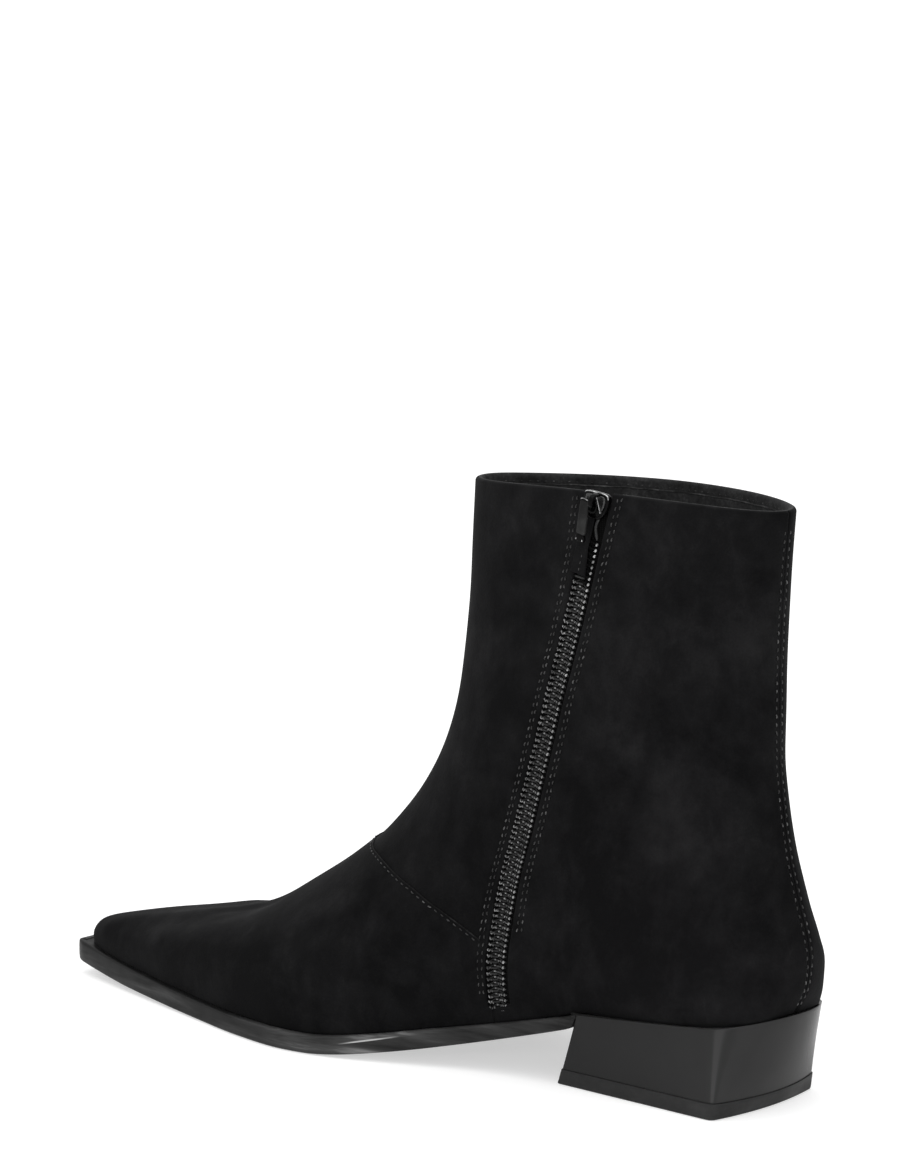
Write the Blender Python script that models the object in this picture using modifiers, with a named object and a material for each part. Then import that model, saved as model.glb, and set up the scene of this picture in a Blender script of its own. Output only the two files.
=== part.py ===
"""Flat ankle boot for the right foot: a suede upper on a pointed last, a thin sole, a low block heel, a side zip.

The scene is in metres with +Z up, +X to the toe and +Y to the inner (medial) side of the foot.
The last is measured in millimetres from a heel datum: s runs to the toe, m to the medial side, z up from the floor.
A parent empty sets the origin at the bottom centre of the whole boot.
"""

import math

import bmesh
import bpy
import numpy as np
from mathutils import Matrix, Vector

MM = 0.001
GAP = 0.3

# Driving sizes of the sole, in millimetres
TIP = 280.0
BREAST = 57.0
TREAD_BACK = 150.0
TREAD_FRONT = 186.0
TOE_SPRING = 5.4
SHANK_RISE = 20.2
SHANK_CURVE = 1.45
EDGE = 6.0
EDGE_AT_BREAST = 3.9
EDGE_THINS_FROM = 112.0
TIP_ROUND = 5.0
TIP_SQUARE = 0.55
SEAT_SLOPE = 0.075
SEAT_LIP = 1.4
SEAT_LIP_FROM = 12.0
SEAT_LIP_REACH = 19.0
LEAN_FADE = 25.0
LEDGE = 2.0
BREAST_EASE = 0.35
BREAST_EASE_REACH = 9.0

# Driving sizes of the upper and the pieces on it
WALL = 2.0
COLLAR_RISE_MEDIAL = 3.0
COLLAR_RISE_LATERAL = 1.0
COLLAR_RISE_POWER = 8
SWING = 12.3
SWING_FROM = 60.0
SWING_POWER = 1.2
INSOLE = 1.8
INSOLE_TIP = 252.0
INSOLE_BACK = -1.0
INSOLE_INSET = 2.8
LIFT = 5.2
LIFT_PROUD = 0.25
CHAIN_HALF = 3.7
CHAIN_THICK = 1.3
CHAIN_SUNK = 0.3
SLIDER_LEVEL = 0.985
CHAIN_TOP_LEVEL = 0.99
CHAIN_END_LEVEL = 0.045
SLOT_END_LEVEL = 0.037

# Driving sizes of the zip's slider and pull
SLIDER_WIDTH = 9.4
SLIDER_LENGTH = 9.0
SLIDER_THICK = 2.2
BRIDGE_FOOT = 2.2
BRIDGE_UP = 1.9
BRIDGE_CLEAR = 1.9
BRIDGE_BAR = 1.0
BRIDGE_WIDTH = 1.9
PULL_LENGTH = 13.2
PULL_WIDTH = 4.4
PULL_THICK = 1.0
PULL_EYE = 3.4
PULL_EYE_BAR = 0.9
PULL_CHAMFER = 0.8

# Grid of the upper: columns behind the zip, across its slot, ahead of it, and round the lateral side
BACK_COLUMNS = 12
SLOT_COLUMNS = 2
FRONT_COLUMNS = 17
LATERAL_COLUMNS = 28
ROWS = 26
SOLE_STATIONS = 34
INSOLE_STATIONS = 24


def columns(names, rows):
    """A table as one array for each named column."""
    return dict(zip(names.split(), np.array(rows, float).T))


# Edges of the sole and heel seat in plan
PLAN = columns("s medial lateral", [
    (-12, 27.2, -27.2),
    (20, 27.4, -27.4),
    (45, 27.2, -27.6),
    (62, 26.6, -28.6),
    (80, 26.6, -31.0),
    (100, 30.2, -34.6),
    (120, 37.4, -37.2),
    (140, 44.8, -37.8),
    (160, 48.2, -36.0),
    (180, 45.6, -31.6),
    (205, 39.2, -24.0),
    (230, 32.6, -15.0),
    (255, 25.9, -5.0),
    (280, 19.0, 6.2),
])

# Slices of the upper from the feather line (level 0) to the collar (level 1): where each leaves the back seam and
# the front ridge, its half breadth, how far it follows the sole's plan and sag, and how blunt and square its ends are
SLICES = columns("level back_s back_z front_s front_z half plan swell back_n back_square front_n sag", [
    (0.00, -5.6, 30.2, 275.6, 11.4, 26.0, 1.00, 1.000, 34.0, 2.6, 70.0, 1.00),
    (0.05, -8.9, 37.2, 275.2, 15.0, 30.0, 0.94, 1.030, 20.0, 2.2, 44.0, 0.93),
    (0.10, -9.9, 45.0, 271.6, 19.4, 31.0, 0.90, 1.045, 16.0, 2.1, 22.0, 0.84),
    (0.16, -9.0, 52.0, 261.5, 24.6, 30.5, 0.90, 1.040, 13.0, 2.0, 13.0, 0.74),
    (0.27, -6.4, 64.0, 225.0, 32.8, 30.0, 0.85, 1.000, 9.5, 2.0, 7.6, 0.55),
    (0.38, -3.0, 80.0, 187.0, 43.6, 30.0, 0.62, 0.970, 5.6, 2.0, 5.0, 0.34),
    (0.50, 0.2, 97.0, 156.5, 61.2, 30.2, 0.28, 0.960, 2.2, 2.0, 2.7, 0.16),
    (0.62, 1.9, 116.0, 134.5, 81.2, 28.4, 0.06, 0.960, 1.1, 2.0, 1.6, 0.04),
    (0.75, 1.8, 137.0, 120.8, 109.5, 25.9, 0.00, 0.960, 0.9, 2.0, 1.2, 0.00),
    (0.88, 0.6, 158.5, 115.9, 141.5, 24.0, 0.00, 0.960, 0.95, 2.0, 1.05, 0.00),
    (1.00, -1.3, 180.6, 114.9, 180.6, 23.2, 0.00, 0.960, 1.0, 2.0, 1.0, 0.00),
])

# Centre line of the zip up the medial side
ZIP = columns("z s", [
    (15, 87.6),
    (38, 87.8),
    (60, 83.5),
    (80, 76.2),
    (100, 70.9),
    (120, 66.8),
    (140, 61.9),
    (185, 51.0),
])

# Plan of the heel block at the floor and at the seat
HEEL = columns("share back_s corner_s half_back front_s half_front corner_round", [
    (0.0, 3.6, 6.7, 24.8, 67.9, 22.2, 2.0),
    (1.0, -7.2, 4.4, 26.2, 57.0, 27.0, 5.0),
])

# Right half of the slider's shield from its nose to its head, in shares of its half width and its length
SHIELD = columns("across along", [
    (0.45, -0.42),
    (0.88, -0.08),
    (1.00, 0.22),
    (0.96, 0.42),
    (0.72, 0.50),
])

COLOURS = {
    "suede": ((0.010, 0.010, 0.011), 0.95, 0.0),
    "sole": ((0.020, 0.020, 0.021), 0.55, 0.0),
    "heel": ((0.022, 0.022, 0.024), 0.30, 0.0),
    "lift": ((0.015, 0.015, 0.016), 0.60, 0.0),
    "sock": ((0.030, 0.029, 0.028), 0.70, 0.0),
    "coil": ((0.018, 0.018, 0.019), 0.45, 0.0),
    "slider": ((0.030, 0.030, 0.032), 0.25, 0.8),
}


def smooth(xs, ys, x):
    """Smooth curve through a table's points, with the slope at each taken from its neighbours."""
    slope = np.gradient(ys, xs)
    x = np.clip(x, xs[0], xs[-1])
    i = np.clip(np.searchsorted(xs, x) - 1, 0, len(xs) - 2)
    step = xs[i + 1] - xs[i]
    q = (x - xs[i]) / step
    rise = slope[i] * (1 - q) - slope[i + 1] * q
    return ys[i] * (1 + 2 * q) * (1 - q) ** 2 + ys[i + 1] * q * q * (3 - 2 * q) + rise * step * q * (1 - q)


def mix(a, b, share):
    """A value between a and b."""
    return a + (b - a) * share


# The sole's heights along the boot

def sole_bottom(s):
    """Height of the tread: flat under the ball, up to the toe spring and up to the heel breast."""
    toe = np.clip((s - TREAD_FRONT) / (TIP - TREAD_FRONT), 0, None)
    shank = np.clip((TREAD_BACK - s) / (TREAD_BACK - BREAST), 0, None)
    return TOE_SPRING * toe ** 2 + SHANK_RISE * shank ** SHANK_CURVE


def sole_top(s):
    """Height of the sole's upper face."""
    return sole_bottom(s) + np.interp(s, (BREAST, EDGE_THINS_FROM), (EDGE_AT_BREAST, EDGE))


def seat(s):
    """Height of the heel block's sloping top, which lifts a little at the back."""
    s = np.asarray(s, float)
    lip = SEAT_LIP * np.clip((SEAT_LIP_FROM - s) / SEAT_LIP_REACH, 0, 1) ** 2
    return float(sole_top(BREAST)) + SEAT_SLOPE * (BREAST - s) + lip


def bed(s):
    """Underside of the upper and insole at s: over the sole, or over the heel block, easing across its breast."""
    top = np.where(np.asarray(s) > BREAST, sole_top(s), seat(s))
    return top + GAP + BREAST_EASE * np.exp(-((s - BREAST) / BREAST_EASE_REACH) ** 2)


def plan(s):
    """Centre and half breadth of the sole in plan."""
    medial = smooth(PLAN["s"], PLAN["medial"], s)
    lateral = smooth(PLAN["s"], PLAN["lateral"], s)
    return (medial + lateral) / 2, (medial - lateral) / 2


# The upper's skin

def ends(share, cut):
    """Rounds a slice off at both ends; a bluntness of 1 and a square of 2 give an ellipse, and more is fuller."""
    back = np.clip(1 - (1 - share) ** cut["back_n"], 0, 1) ** (1 / cut["back_square"])
    return back * np.sqrt(np.clip(1 - share ** cut["front_n"], 0, 1))


def skin(turn, level):
    """Points of the upper's outer face. turn runs 0 to 1 round a slice: back seam, medial side, toe, lateral side."""
    turn, level = np.broadcast_arrays(np.asarray(turn, float), np.asarray(level, float))
    cut = {name: smooth(SLICES["level"], column, level) for name, column in SLICES.items()}
    share = np.sin(math.pi * turn) ** 2
    s = mix(cut["back_s"], cut["front_s"], share)
    low_centre, low_half = plan(s)
    high_centre = SWING * np.clip((s - SWING_FROM) / (TIP - SWING_FROM), 0, 1) ** SWING_POWER
    breadth = mix(cut["half"], cut["swell"] * (low_half - LEDGE), cut["plan"])
    half = breadth * ends(share, cut) / ends(0.5, cut)
    side = np.where(turn % 1.0 < 0.5, 1.0, -1.0)
    m = mix(high_centre, low_centre, cut["sag"]) + side * half
    first_s = SLICES["back_s"][0], SLICES["front_s"][0]
    first_z = SLICES["back_z"][0], SLICES["front_z"][0]
    dip = bed(s) - np.interp(s, first_s, first_z)
    rise = np.where(side > 0, COLLAR_RISE_MEDIAL, COLLAR_RISE_LATERAL)
    saddle = rise * level ** COLLAR_RISE_POWER * 4 * share * (1 - share)
    z = mix(cut["back_z"], cut["front_z"], share) + cut["sag"] * dip + saddle
    return np.stack([s, m, z], -1)


def skin_frame(turn, level):
    """Point, direction up the slice's column, direction round it, and outward normal."""
    step = 1e-4
    point = skin(turn, level)
    around = skin(turn + step, level) - skin(turn - step, level)
    up = skin(turn, np.minimum(level + step, 1)) - skin(turn, np.maximum(level - step, 0))
    normal = np.cross(up, around)
    return (point, *(v / np.linalg.norm(v, axis=-1, keepdims=True) for v in (up, around, normal)))


def zip_turn(level):
    """Where the zip's centre line crosses each slice, found by stepping towards it."""
    back, front = (smooth(SLICES["level"], SLICES[name], level) for name in ("back_s", "front_s"))
    turn = np.full(np.shape(level), 0.25)
    for _ in range(12):
        s = smooth(ZIP["z"], ZIP["s"], skin(turn, level)[..., 2])
        turn = np.arcsin(np.sqrt((s - back) / (front - back))) / math.pi
    return turn


def turn_per_mm(turn, level):
    """Turn that makes one millimetre round the slice."""
    step = 1e-4
    chord = skin(turn + step, level) - skin(turn - step, level)
    return 2 * step / np.linalg.norm(chord, axis=-1)


# Meshes, materials and placing

def material(name):
    """Principled material with the piece's plain colour, roughness and metallic value."""
    colour, roughness, metallic = COLOURS[name]
    made = bpy.data.materials.new(name)
    made.use_nodes = True
    shader = made.node_tree.nodes["Principled BSDF"]
    shader.inputs["Base Color"].default_value = (*colour, 1.0)
    shader.inputs["Roughness"].default_value = roughness
    shader.inputs["Metallic"].default_value = metallic
    return made


def new_object(name, bm, finish, smooth_shade=True):
    """Links a bmesh, given in millimetres of the last, as a piece of the boot."""
    bmesh.ops.recalc_face_normals(bm, faces=bm.faces)
    bmesh.ops.scale(bm, vec=Vector((MM, MM, MM)), verts=bm.verts)
    mesh = bpy.data.meshes.new(name)
    bm.to_mesh(mesh)
    bm.free()
    if smooth_shade:
        mesh.shade_smooth()
        mesh.set_sharp_from_angle(angle=math.radians(35))
    mesh.materials.append(bpy.data.materials.get(finish) or material(finish))
    piece = bpy.data.objects.new(name, mesh)
    BOOT.objects.link(piece)
    piece.parent = ORIGIN
    return piece


def add_grid(bm, points, closed=False, skip=None):
    """Lofts a grid of points into quads; closed joins the last column to the first, skip(row, column) leaves a hole."""
    rows, cols = points.shape[:2]
    verts = [[bm.verts.new(p) for p in row] for row in points]
    for i in range(rows - 1):
        for j in range(cols if closed else cols - 1):
            k = (j + 1) % cols
            if not (skip and skip(i, j)):
                bm.faces.new((verts[i][j], verts[i][k], verts[i + 1][k], verts[i + 1][j]))
    for lone in [v for v in bm.verts if not v.link_faces]:
        bm.verts.remove(lone)
    return verts


def loft_solid(sections):
    """Closed solid through loops of equal length, capped at both ends."""
    bm = bmesh.new()
    verts = add_grid(bm, np.asarray(sections, float), closed=True)
    bm.faces.new(verts[0][::-1])
    bm.faces.new(verts[-1])
    return bm


def strip_solid(s, medial, lateral, bottom, top, lean=0.0):
    """Closed solid between two edges in plan and two heights, all given along s; lean moves the bottom forwards."""
    low = s + lean
    corners = ((low, medial, bottom), (low, lateral, bottom), (s, lateral, top), (s, medial, top))
    return loft_solid(np.stack([np.stack(corner, -1) for corner in corners], 1))


# The pieces

def slot_edges(level):
    """Turns of the slot's two edges at a level."""
    middle = zip_turn(level)
    reach = (CHAIN_HALF + GAP) * turn_per_mm(middle, level)
    return middle - reach, middle + reach


def build_upper():
    """Hollow wall, open at the collar and underneath, with the slot that the zip closes."""
    levels = np.concatenate([[0.0], np.linspace(SLOT_END_LEVEL, 1.0, ROWS)])
    first_slot_row = 1
    grid = []
    for level in levels:
        back_edge, front_edge = slot_edges(level)
        turns = np.concatenate([
            np.linspace(0, back_edge, BACK_COLUMNS, endpoint=False),
            np.linspace(back_edge, front_edge, SLOT_COLUMNS, endpoint=False),
            np.linspace(front_edge, 0.5, FRONT_COLUMNS, endpoint=False),
            np.linspace(0.5, 1.0, LATERAL_COLUMNS, endpoint=False),
        ])
        grid.append(skin(turns, level))
    slot = range(BACK_COLUMNS, BACK_COLUMNS + SLOT_COLUMNS)
    bm = bmesh.new()
    add_grid(bm, np.array(grid), closed=True, skip=lambda i, j: i >= first_slot_row and j in slot)
    upper = new_object("upper", bm, "suede")
    shell = upper.modifiers.new("wall", "SOLIDIFY")
    shell.thickness = WALL * MM
    shell.offset = -1.0
    shell.use_even_offset = True
    shell.use_quality_normals = True
    return upper


def tip_round(s, tip, half):
    """Squares the toe off with rounded corners."""
    inset = np.clip(1 - (tip - s) / TIP_ROUND, 0, 1)
    return half - TIP_ROUND * TIP_SQUARE * (1 - np.sqrt(1 - inset ** 2))


def stations(back, front, count):
    """Positions along the boot, closer together towards the tip."""
    return back + (front - back) * np.sin(np.linspace(0, math.pi / 2, count))


def build_outsole():
    """Sole from the heel breast to the tip, with its waist, flat tread and toe spring."""
    s = stations(BREAST + GAP, TIP, SOLE_STATIONS)
    centre, half = plan(s)
    half = tip_round(s, TIP, half)
    slant = (HEEL["front_s"][0] - HEEL["front_s"][1]) / float(seat(BREAST))
    lean = slant * EDGE_AT_BREAST * np.clip(1 - (s - s[0]) / LEAN_FADE, 0, 1)
    bm = strip_solid(s, centre + half, centre - half, sole_bottom(s + lean), sole_top(s), lean)
    return new_object("outsole", bm, "sole")


def build_insole():
    """Board and sock inside the upper, over the sole and the heel seat."""
    s = np.union1d(stations(INSOLE_BACK, INSOLE_TIP, INSOLE_STATIONS), BREAST)
    centre, half = plan(s)
    first = {name: column[0] for name, column in SLICES.items()}
    share = (s - first["back_s"] - INSOLE_INSET) / (first["front_s"] - first["back_s"])
    half = (half - LEDGE) * ends(share, first) - INSOLE_INSET
    low = bed(s)
    bm = strip_solid(s, centre + half, centre - half, low, low + INSOLE)
    return new_object("insole", bm, "sock")


def heel_section(share, proud=0.0):
    """Outline of the heel block at a share of its height, from the medial breast corner round the back."""
    cut = {name: np.interp(share, HEEL["share"], column) for name, column in HEEL.items()}
    corner = np.array([cut["corner_s"] - proud, cut["half_back"] + proud])
    breast = np.array([cut["front_s"] + proud, cut["half_front"] + proud])
    along = (breast - corner) / np.linalg.norm(breast - corner)
    arc_y = np.linspace(1 - cut["corner_round"] / corner[1], 0, 6)
    back_s = cut["back_s"] - proud
    back = np.stack([mix(back_s, corner[0], arc_y ** 2), arc_y * corner[1]], -1)
    start = corner + along * cut["corner_round"]
    q = np.linspace(0, 1, 7)[:-1, None]
    fillet = (1 - q) ** 2 * start + 2 * q * (1 - q) * corner + q * q * back[0]
    side = mix(breast, start, np.linspace(0, 1, 5)[:-1, None])
    half = np.concatenate([side, fillet, back])
    return np.concatenate([half, (half * (1, -1))[-2::-1]])


def heel_loop(low, share_at, proud=0.0):
    """Outline of the block lifted to a height that may follow s."""
    flat = heel_section(share_at, proud)
    return np.column_stack([flat, low(flat[:, 0])])


def build_heel():
    """Block that flares from the top-lift to the sloping seat."""
    foot = LIFT + GAP
    shares = np.linspace(0, 1, 6)
    first = foot / float(seat(BREAST))
    loops = [heel_loop(lambda s, q=q: mix(foot, seat(s), q), mix(first, 1, q)) for q in shares]
    return new_object("heel", loft_solid(loops), "heel")


def build_toplift():
    """Wearing plate under the block, a shade proud of it, flat on the floor."""
    top = LIFT / float(seat(BREAST))
    loops = [heel_loop(lambda s, z=z: np.full_like(s, z), q, LIFT_PROUD) for q, z in ((0, 0.0), (top, LIFT))]
    return new_object("heel_toplift", loft_solid(loops), "lift")


def build_chain():
    """Coil and tapes as one ribbon that fills the slot from the sole to the collar."""
    levels = np.linspace(CHAIN_END_LEVEL, CHAIN_TOP_LEVEL, ROWS + 6)
    middle = zip_turn(levels)
    reach = CHAIN_HALF * turn_per_mm(middle, levels)
    loops = []
    for across, depth in ((-1, 0), (0, 0), (1, 0), (1, 1), (0, 1), (-1, 1)):
        point, _, _, normal = skin_frame(middle + across * reach, levels)
        loops.append(point - normal * (CHAIN_SUNK + depth * CHAIN_THICK))
    return new_object("zip_chain", loft_solid(np.stack(loops, 1)), "coil")


def zip_matrix():
    """Frame just off the skin at the slider: X across towards the heel, Y up the zip, Z out of the boot."""
    step = 1e-3
    here = np.array([SLIDER_LEVEL - step, SLIDER_LEVEL, SLIDER_LEVEL + step])
    point, _, _, normal = skin_frame(zip_turn(here), here)
    out = Vector(normal[1])
    up = Vector(point[2] - point[0])
    up = (up - out * up.dot(out)).normalized()
    across = up.cross(out)
    place = Vector(point[1] + normal[1] * GAP) * MM
    return Matrix.Translation(place) @ Matrix((across, up, out)).transposed().to_4x4()


def outline_solid(outline, low, high):
    """Flat outline, counter-clockwise, extruded from low to high along Z."""
    return loft_solid([[(x, y, z) for x, y in outline] for z in (low, high)])


def box_solid(x, y, z):
    """Box between three ranges."""
    corners = ((x[0], y[0]), (x[1], y[0]), (x[1], y[1]), (x[0], y[1]))
    return outline_solid(corners, *z)


def join(piece, tools, operation):
    """Applies a Boolean of each tool to the piece, and keeps the tools as hidden cutters."""
    for tool in tools:
        BOOT.objects.unlink(tool)
        CUTTERS.objects.link(tool)
        tool.hide_render = True
        tool.display_type = "WIRE"
        cut = piece.modifiers.new(tool.name, "BOOLEAN")
        cut.operation = operation
        cut.object = tool


def build_slider():
    """Shield-shaped body with an arched bridge that carries the pull."""
    right = np.stack([SHIELD["across"] * SLIDER_WIDTH / 2, SHIELD["along"] * SLIDER_LENGTH], -1)
    outline = np.concatenate([right, right[::-1] * (-1, 1)])
    slider = new_object("zip_slider", outline_solid(outline, 0, SLIDER_THICK), "slider", False)
    rise = SLIDER_THICK + BRIDGE_CLEAR
    foot, head = BRIDGE_UP - BRIDGE_FOOT, BRIDGE_UP + BRIDGE_FOOT
    arch = box_solid((-BRIDGE_WIDTH / 2, BRIDGE_WIDTH / 2), (foot, head), (SLIDER_THICK / 2, rise + BRIDGE_BAR))
    bridge = new_object("bridge_block", arch, "slider", False)
    window = box_solid((-BRIDGE_WIDTH, BRIDGE_WIDTH), (foot + BRIDGE_BAR, head - BRIDGE_BAR), (SLIDER_THICK, rise))
    opening = new_object("bridge_window", window, "slider", False)
    for piece in (slider, bridge, opening):
        piece.matrix_local = zip_matrix()
    join(slider, [bridge], "UNION")
    join(slider, [opening], "DIFFERENCE")
    return slider


def pull_pivot():
    """Middle of the pull's eye bar, in the slider's frame."""
    return Vector((0, BRIDGE_UP, SLIDER_THICK + BRIDGE_CLEAR / 2))


def build_pull():
    """Tab hanging from the bridge: its eye bar runs under the bridge, and turns there."""
    half, thick = PULL_WIDTH / 2, PULL_THICK / 2
    end, corner = half - PULL_CHAMFER, PULL_CHAMFER - PULL_LENGTH
    outline = ((-end, -PULL_LENGTH), (end, -PULL_LENGTH), (half, corner),
               (half, PULL_EYE_BAR / 2), (-half, PULL_EYE_BAR / 2), (-half, corner))
    pull = new_object("zip_pull", outline_solid(outline, -thick, thick), "slider", False)
    eye = box_solid((-half + PULL_EYE_BAR, half - PULL_EYE_BAR), (-PULL_EYE - PULL_EYE_BAR / 2, -PULL_EYE_BAR / 2),
                    (-PULL_THICK, PULL_THICK))
    hole = new_object("pull_eye", eye, "slider", False)
    for piece in (pull, hole):
        piece.matrix_local = zip_matrix() @ Matrix.Translation(pull_pivot() * MM)
    join(pull, [hole], "DIFFERENCE")
    return pull


def centre_on_floor(pieces):
    """Moves the parent so that the origin lies at the bottom centre of all the pieces."""
    bpy.context.view_layer.update()
    graph = bpy.context.evaluated_depsgraph_get()
    corners = [p.matrix_world @ Vector(c) for p in pieces for c in p.evaluated_get(graph).bound_box]
    low = Vector(map(min, *corners))
    high = Vector(map(max, *corners))
    ORIGIN.location = (-(low.x + high.x) / 2, -(low.y + high.y) / 2, -low.z)
    bpy.context.view_layer.update()


for old in list(bpy.data.objects):
    bpy.data.objects.remove(old)

BOOT = bpy.data.collections.new("ankle_boot")
CUTTERS = bpy.data.collections.new("cutters")
for group in (BOOT, CUTTERS):
    bpy.context.scene.collection.children.link(group)
ORIGIN = bpy.data.objects.new("boot_origin", None)
BOOT.objects.link(ORIGIN)

PIECES = [build_upper(), build_outsole(), build_insole(), build_heel(), build_toplift(), build_chain(),
          build_slider(), build_pull()]
centre_on_floor(PIECES)
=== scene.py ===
"""Looks of the flat ankle boot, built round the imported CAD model.

Points are first made in millimetres of the last, as in the CAD source: s runs to the toe from a heel datum,
m to the inner (medial) side, z up from the floor. to_row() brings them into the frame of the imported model,
in metres.
"""

import math

import bpy
import numpy as np
from mathutils import Matrix, Vector


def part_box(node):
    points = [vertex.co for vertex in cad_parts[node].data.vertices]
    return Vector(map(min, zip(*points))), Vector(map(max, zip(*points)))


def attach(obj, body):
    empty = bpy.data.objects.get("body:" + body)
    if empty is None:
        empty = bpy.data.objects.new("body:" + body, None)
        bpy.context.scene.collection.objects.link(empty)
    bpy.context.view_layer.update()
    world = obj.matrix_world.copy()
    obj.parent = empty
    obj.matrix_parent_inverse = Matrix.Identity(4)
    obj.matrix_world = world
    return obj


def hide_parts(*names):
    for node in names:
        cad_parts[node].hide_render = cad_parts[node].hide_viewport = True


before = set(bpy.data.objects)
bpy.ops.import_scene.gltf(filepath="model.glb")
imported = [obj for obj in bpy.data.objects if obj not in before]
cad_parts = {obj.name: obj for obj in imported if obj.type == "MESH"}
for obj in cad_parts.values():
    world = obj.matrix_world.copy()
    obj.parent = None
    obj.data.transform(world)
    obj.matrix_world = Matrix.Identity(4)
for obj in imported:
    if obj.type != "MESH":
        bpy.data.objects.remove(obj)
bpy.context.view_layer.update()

MM = 0.001
GAP = 0.3
TINY = 1e-4

# The last, sole, heel and slider, as in the CAD source
TIP = 280.0
BREAST = 57.0
TREAD_BACK = 150.0
TREAD_FRONT = 186.0
TOE_SPRING = 5.4
SHANK_RISE = 20.2
SHANK_CURVE = 1.45
EDGE = 6.0
EDGE_AT_BREAST = 3.9
EDGE_THINS_FROM = 112.0
TIP_ROUND = 5.0
SEAT_SLOPE = 0.075
SEAT_LIP = 1.4
SEAT_LIP_FROM = 12.0
SEAT_LIP_REACH = 19.0
LEAN_FADE = 25.0
LEDGE = 2.0
BREAST_EASE = 0.35
BREAST_EASE_REACH = 9.0
COLLAR_RISE_MEDIAL = 3.0
COLLAR_RISE_POWER = 8
SWING = 12.3
SWING_FROM = 60.0
SWING_POWER = 1.2
INSOLE = 1.8
INSOLE_TIP = 252.0
INSOLE_BACK = -1.0
INSOLE_INSET = 2.8
LIFT = 5.2
LIFT_PROUD = 0.25
SLIDER_LEVEL = 0.985
SLIDER_WIDTH = 9.4
SLIDER_LENGTH = 9.0
SLIDER_THICK = 2.2
BRIDGE_UP = 1.9
BRIDGE_CLEAR = 1.9
PULL_LENGTH = 13.2

# Sizes that follow the photograph more closely than the CAD source does
TOE_FULLER = 1.0
TOE_FULLER_REACH = 65.0
TIP_SQUARE = 0.35
COLLAR_RISE_LATERAL = 1.4
COLLAR_RISE_FRONT = 0.9
COLLAR_FRONT_POWER = 12
SLOT_HALF = 4.0
SLOT_END_LEVEL = 0.042
PULL_WIDTH = 3.4
FRONT_FIT_TURN = 0.11
BACK_FIT_TURN = 0.09

# The suede and what is sewn to it
SUEDE = 0.9
COLLAR_ROLL = 1.1
COLLAR_BAND = 3.6
BAND_BULGE = 0.12
BAND_SEAM = 1.75
BINDING = 7.0
BINDING_SEAM = 2.2
BINDING_SEAM_DEPTH = 0.12
BINDING_START = 0.02
BINDING_THICK = 0.22
BINDING_FUZZ = 0.05
BINDING_FROM_ZIP = 7.0
COLLAR_ROW_FROM_ZIP = 11.0
COLLAR_ROW_DROP = 1.2
LINING_FACE = 2.05
LINING_BACK = 1.78
EDGE_ROLL = 0.7
SEAM_STEP = 0.2
SEAM_STEP_FADE = 9.0
VAMP_TUCK = 0.012
VAMP_END = 0.83
VAMP_FOOT_MM = 2.4
VAMP_ROW_MM = 1.3
VAMP_EDGE_ROLL = 0.8
UNDER_VAMP_FROM = 1.4
UNDER_VAMP_REACH = 0.8
UNDER_VAMP_DROP = 0.5
BARE_DROP = 0.22
BARE_RISE = 0.12
BARE_RADIUS = 0.17
VAMP_ROW_TURNS = (0.222, 0.822)
VAMP_BARE_TURNS = (0.2205, 0.826)
STITCH_PITCH = 2.5
STITCH_LENGTH = 1.1
STITCH_RADIUS = 0.22
STITCH_DIP = 0.34
STITCH_UNEVEN = 0.13
STITCH_WANDER = 0.2
TROUGH_DEPTH = 0.2
TROUGH_WIDTH = 0.55
IN_TROUGH = STITCH_RADIUS - TROUGH_DEPTH
BACK_ROW = 1.3
BACK_ROW_TOP = 0.965
FRONT_ROWS_FROM = 0.068
BACK_ROWS_FROM = 0.235
ZIP_ROWS_TO = 0.997

# The zip's coil, its tapes and the flap over its top
COIL_PITCH = 1.8
COIL_WIRE = 0.33
COIL_TOP_LEVEL = 0.957
COIL_SHIFT = -0.5
TAPE_ACROSS = np.array([0.25, 0.6, 1.2, 2.0, 2.8, 3.5, 4.2, 5.0, 6.2])
TAPE_FACES = (-1.34, -1.66)
TAPE_TOP = 0.99
BEND_OUT = 2.74
BEND_BELOW = 0.36
BEND = {"rise": 0.52, "top": -0.40, "sag": 0.14}
BEND_LEAN = 0.2
NOSE = {"lean": 0.34, "rise": 0.06, "top": -0.24, "sag": 0.1, "radius": 0.28}
LOOP = {"rise": 0.34, "top": -0.06, "sag": 0.3, "radius": 0.18}
LOOP_BELOW = 0.2
LOOP_LINES = (
    (1, 0.06, ((1.25, 0.12), (1.95, -0.14))),
    (-1, 0.2, ((1.3, 0.1), (2.0, -0.2), (2.7, 0.2))),
)
GUARD_FRONT = -4.75
GUARD_EDGE = (0.9, -0.3, -0.1)
GUARD_ROW = -1.75
GUARD_THICK = 0.5
GUARD_TOP = 0.972
GUARD_STEP = 0.938
GUARD_END = 0.9075

# The slider and pull; rings give the inset and height of a plate's edge
SLIDER_SKEW = math.radians(6)
SLIDER_RINGS = ((0.9, -0.9), (0.3, -0.8), (0.08, -0.45), (0.0, 0.1), (0.0, 0.8), (0.08, 1.1), (0.3, 1.3),
                (0.6, 1.36), (0.8, 1.3), (1.0, 1.24), (1.3, 1.26), (1.8, 1.4))
WING_LINE = ((2.6, -1.9), (0.05, 3.75))
WING_RINGS = ((0.0, 1.1), (0.0, 1.5), (0.08, 1.66), (0.25, 1.72), (0.6, 1.7))
BRIDGE_ASIDE = 0.2
BRIDGE_WIDTH = 1.8
BRIDGE_THICK = 0.9
BRIDGE_HALF = 1.95
BRIDGE_FOOT = 1.1
BRIDGE_ARCH = 3.3
RING_ASIDE = 0.2
RING_HALF_WIDTH = 1.75
RING_HALF_LENGTH = 1.6
RING_WIRE = 0.36
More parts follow.
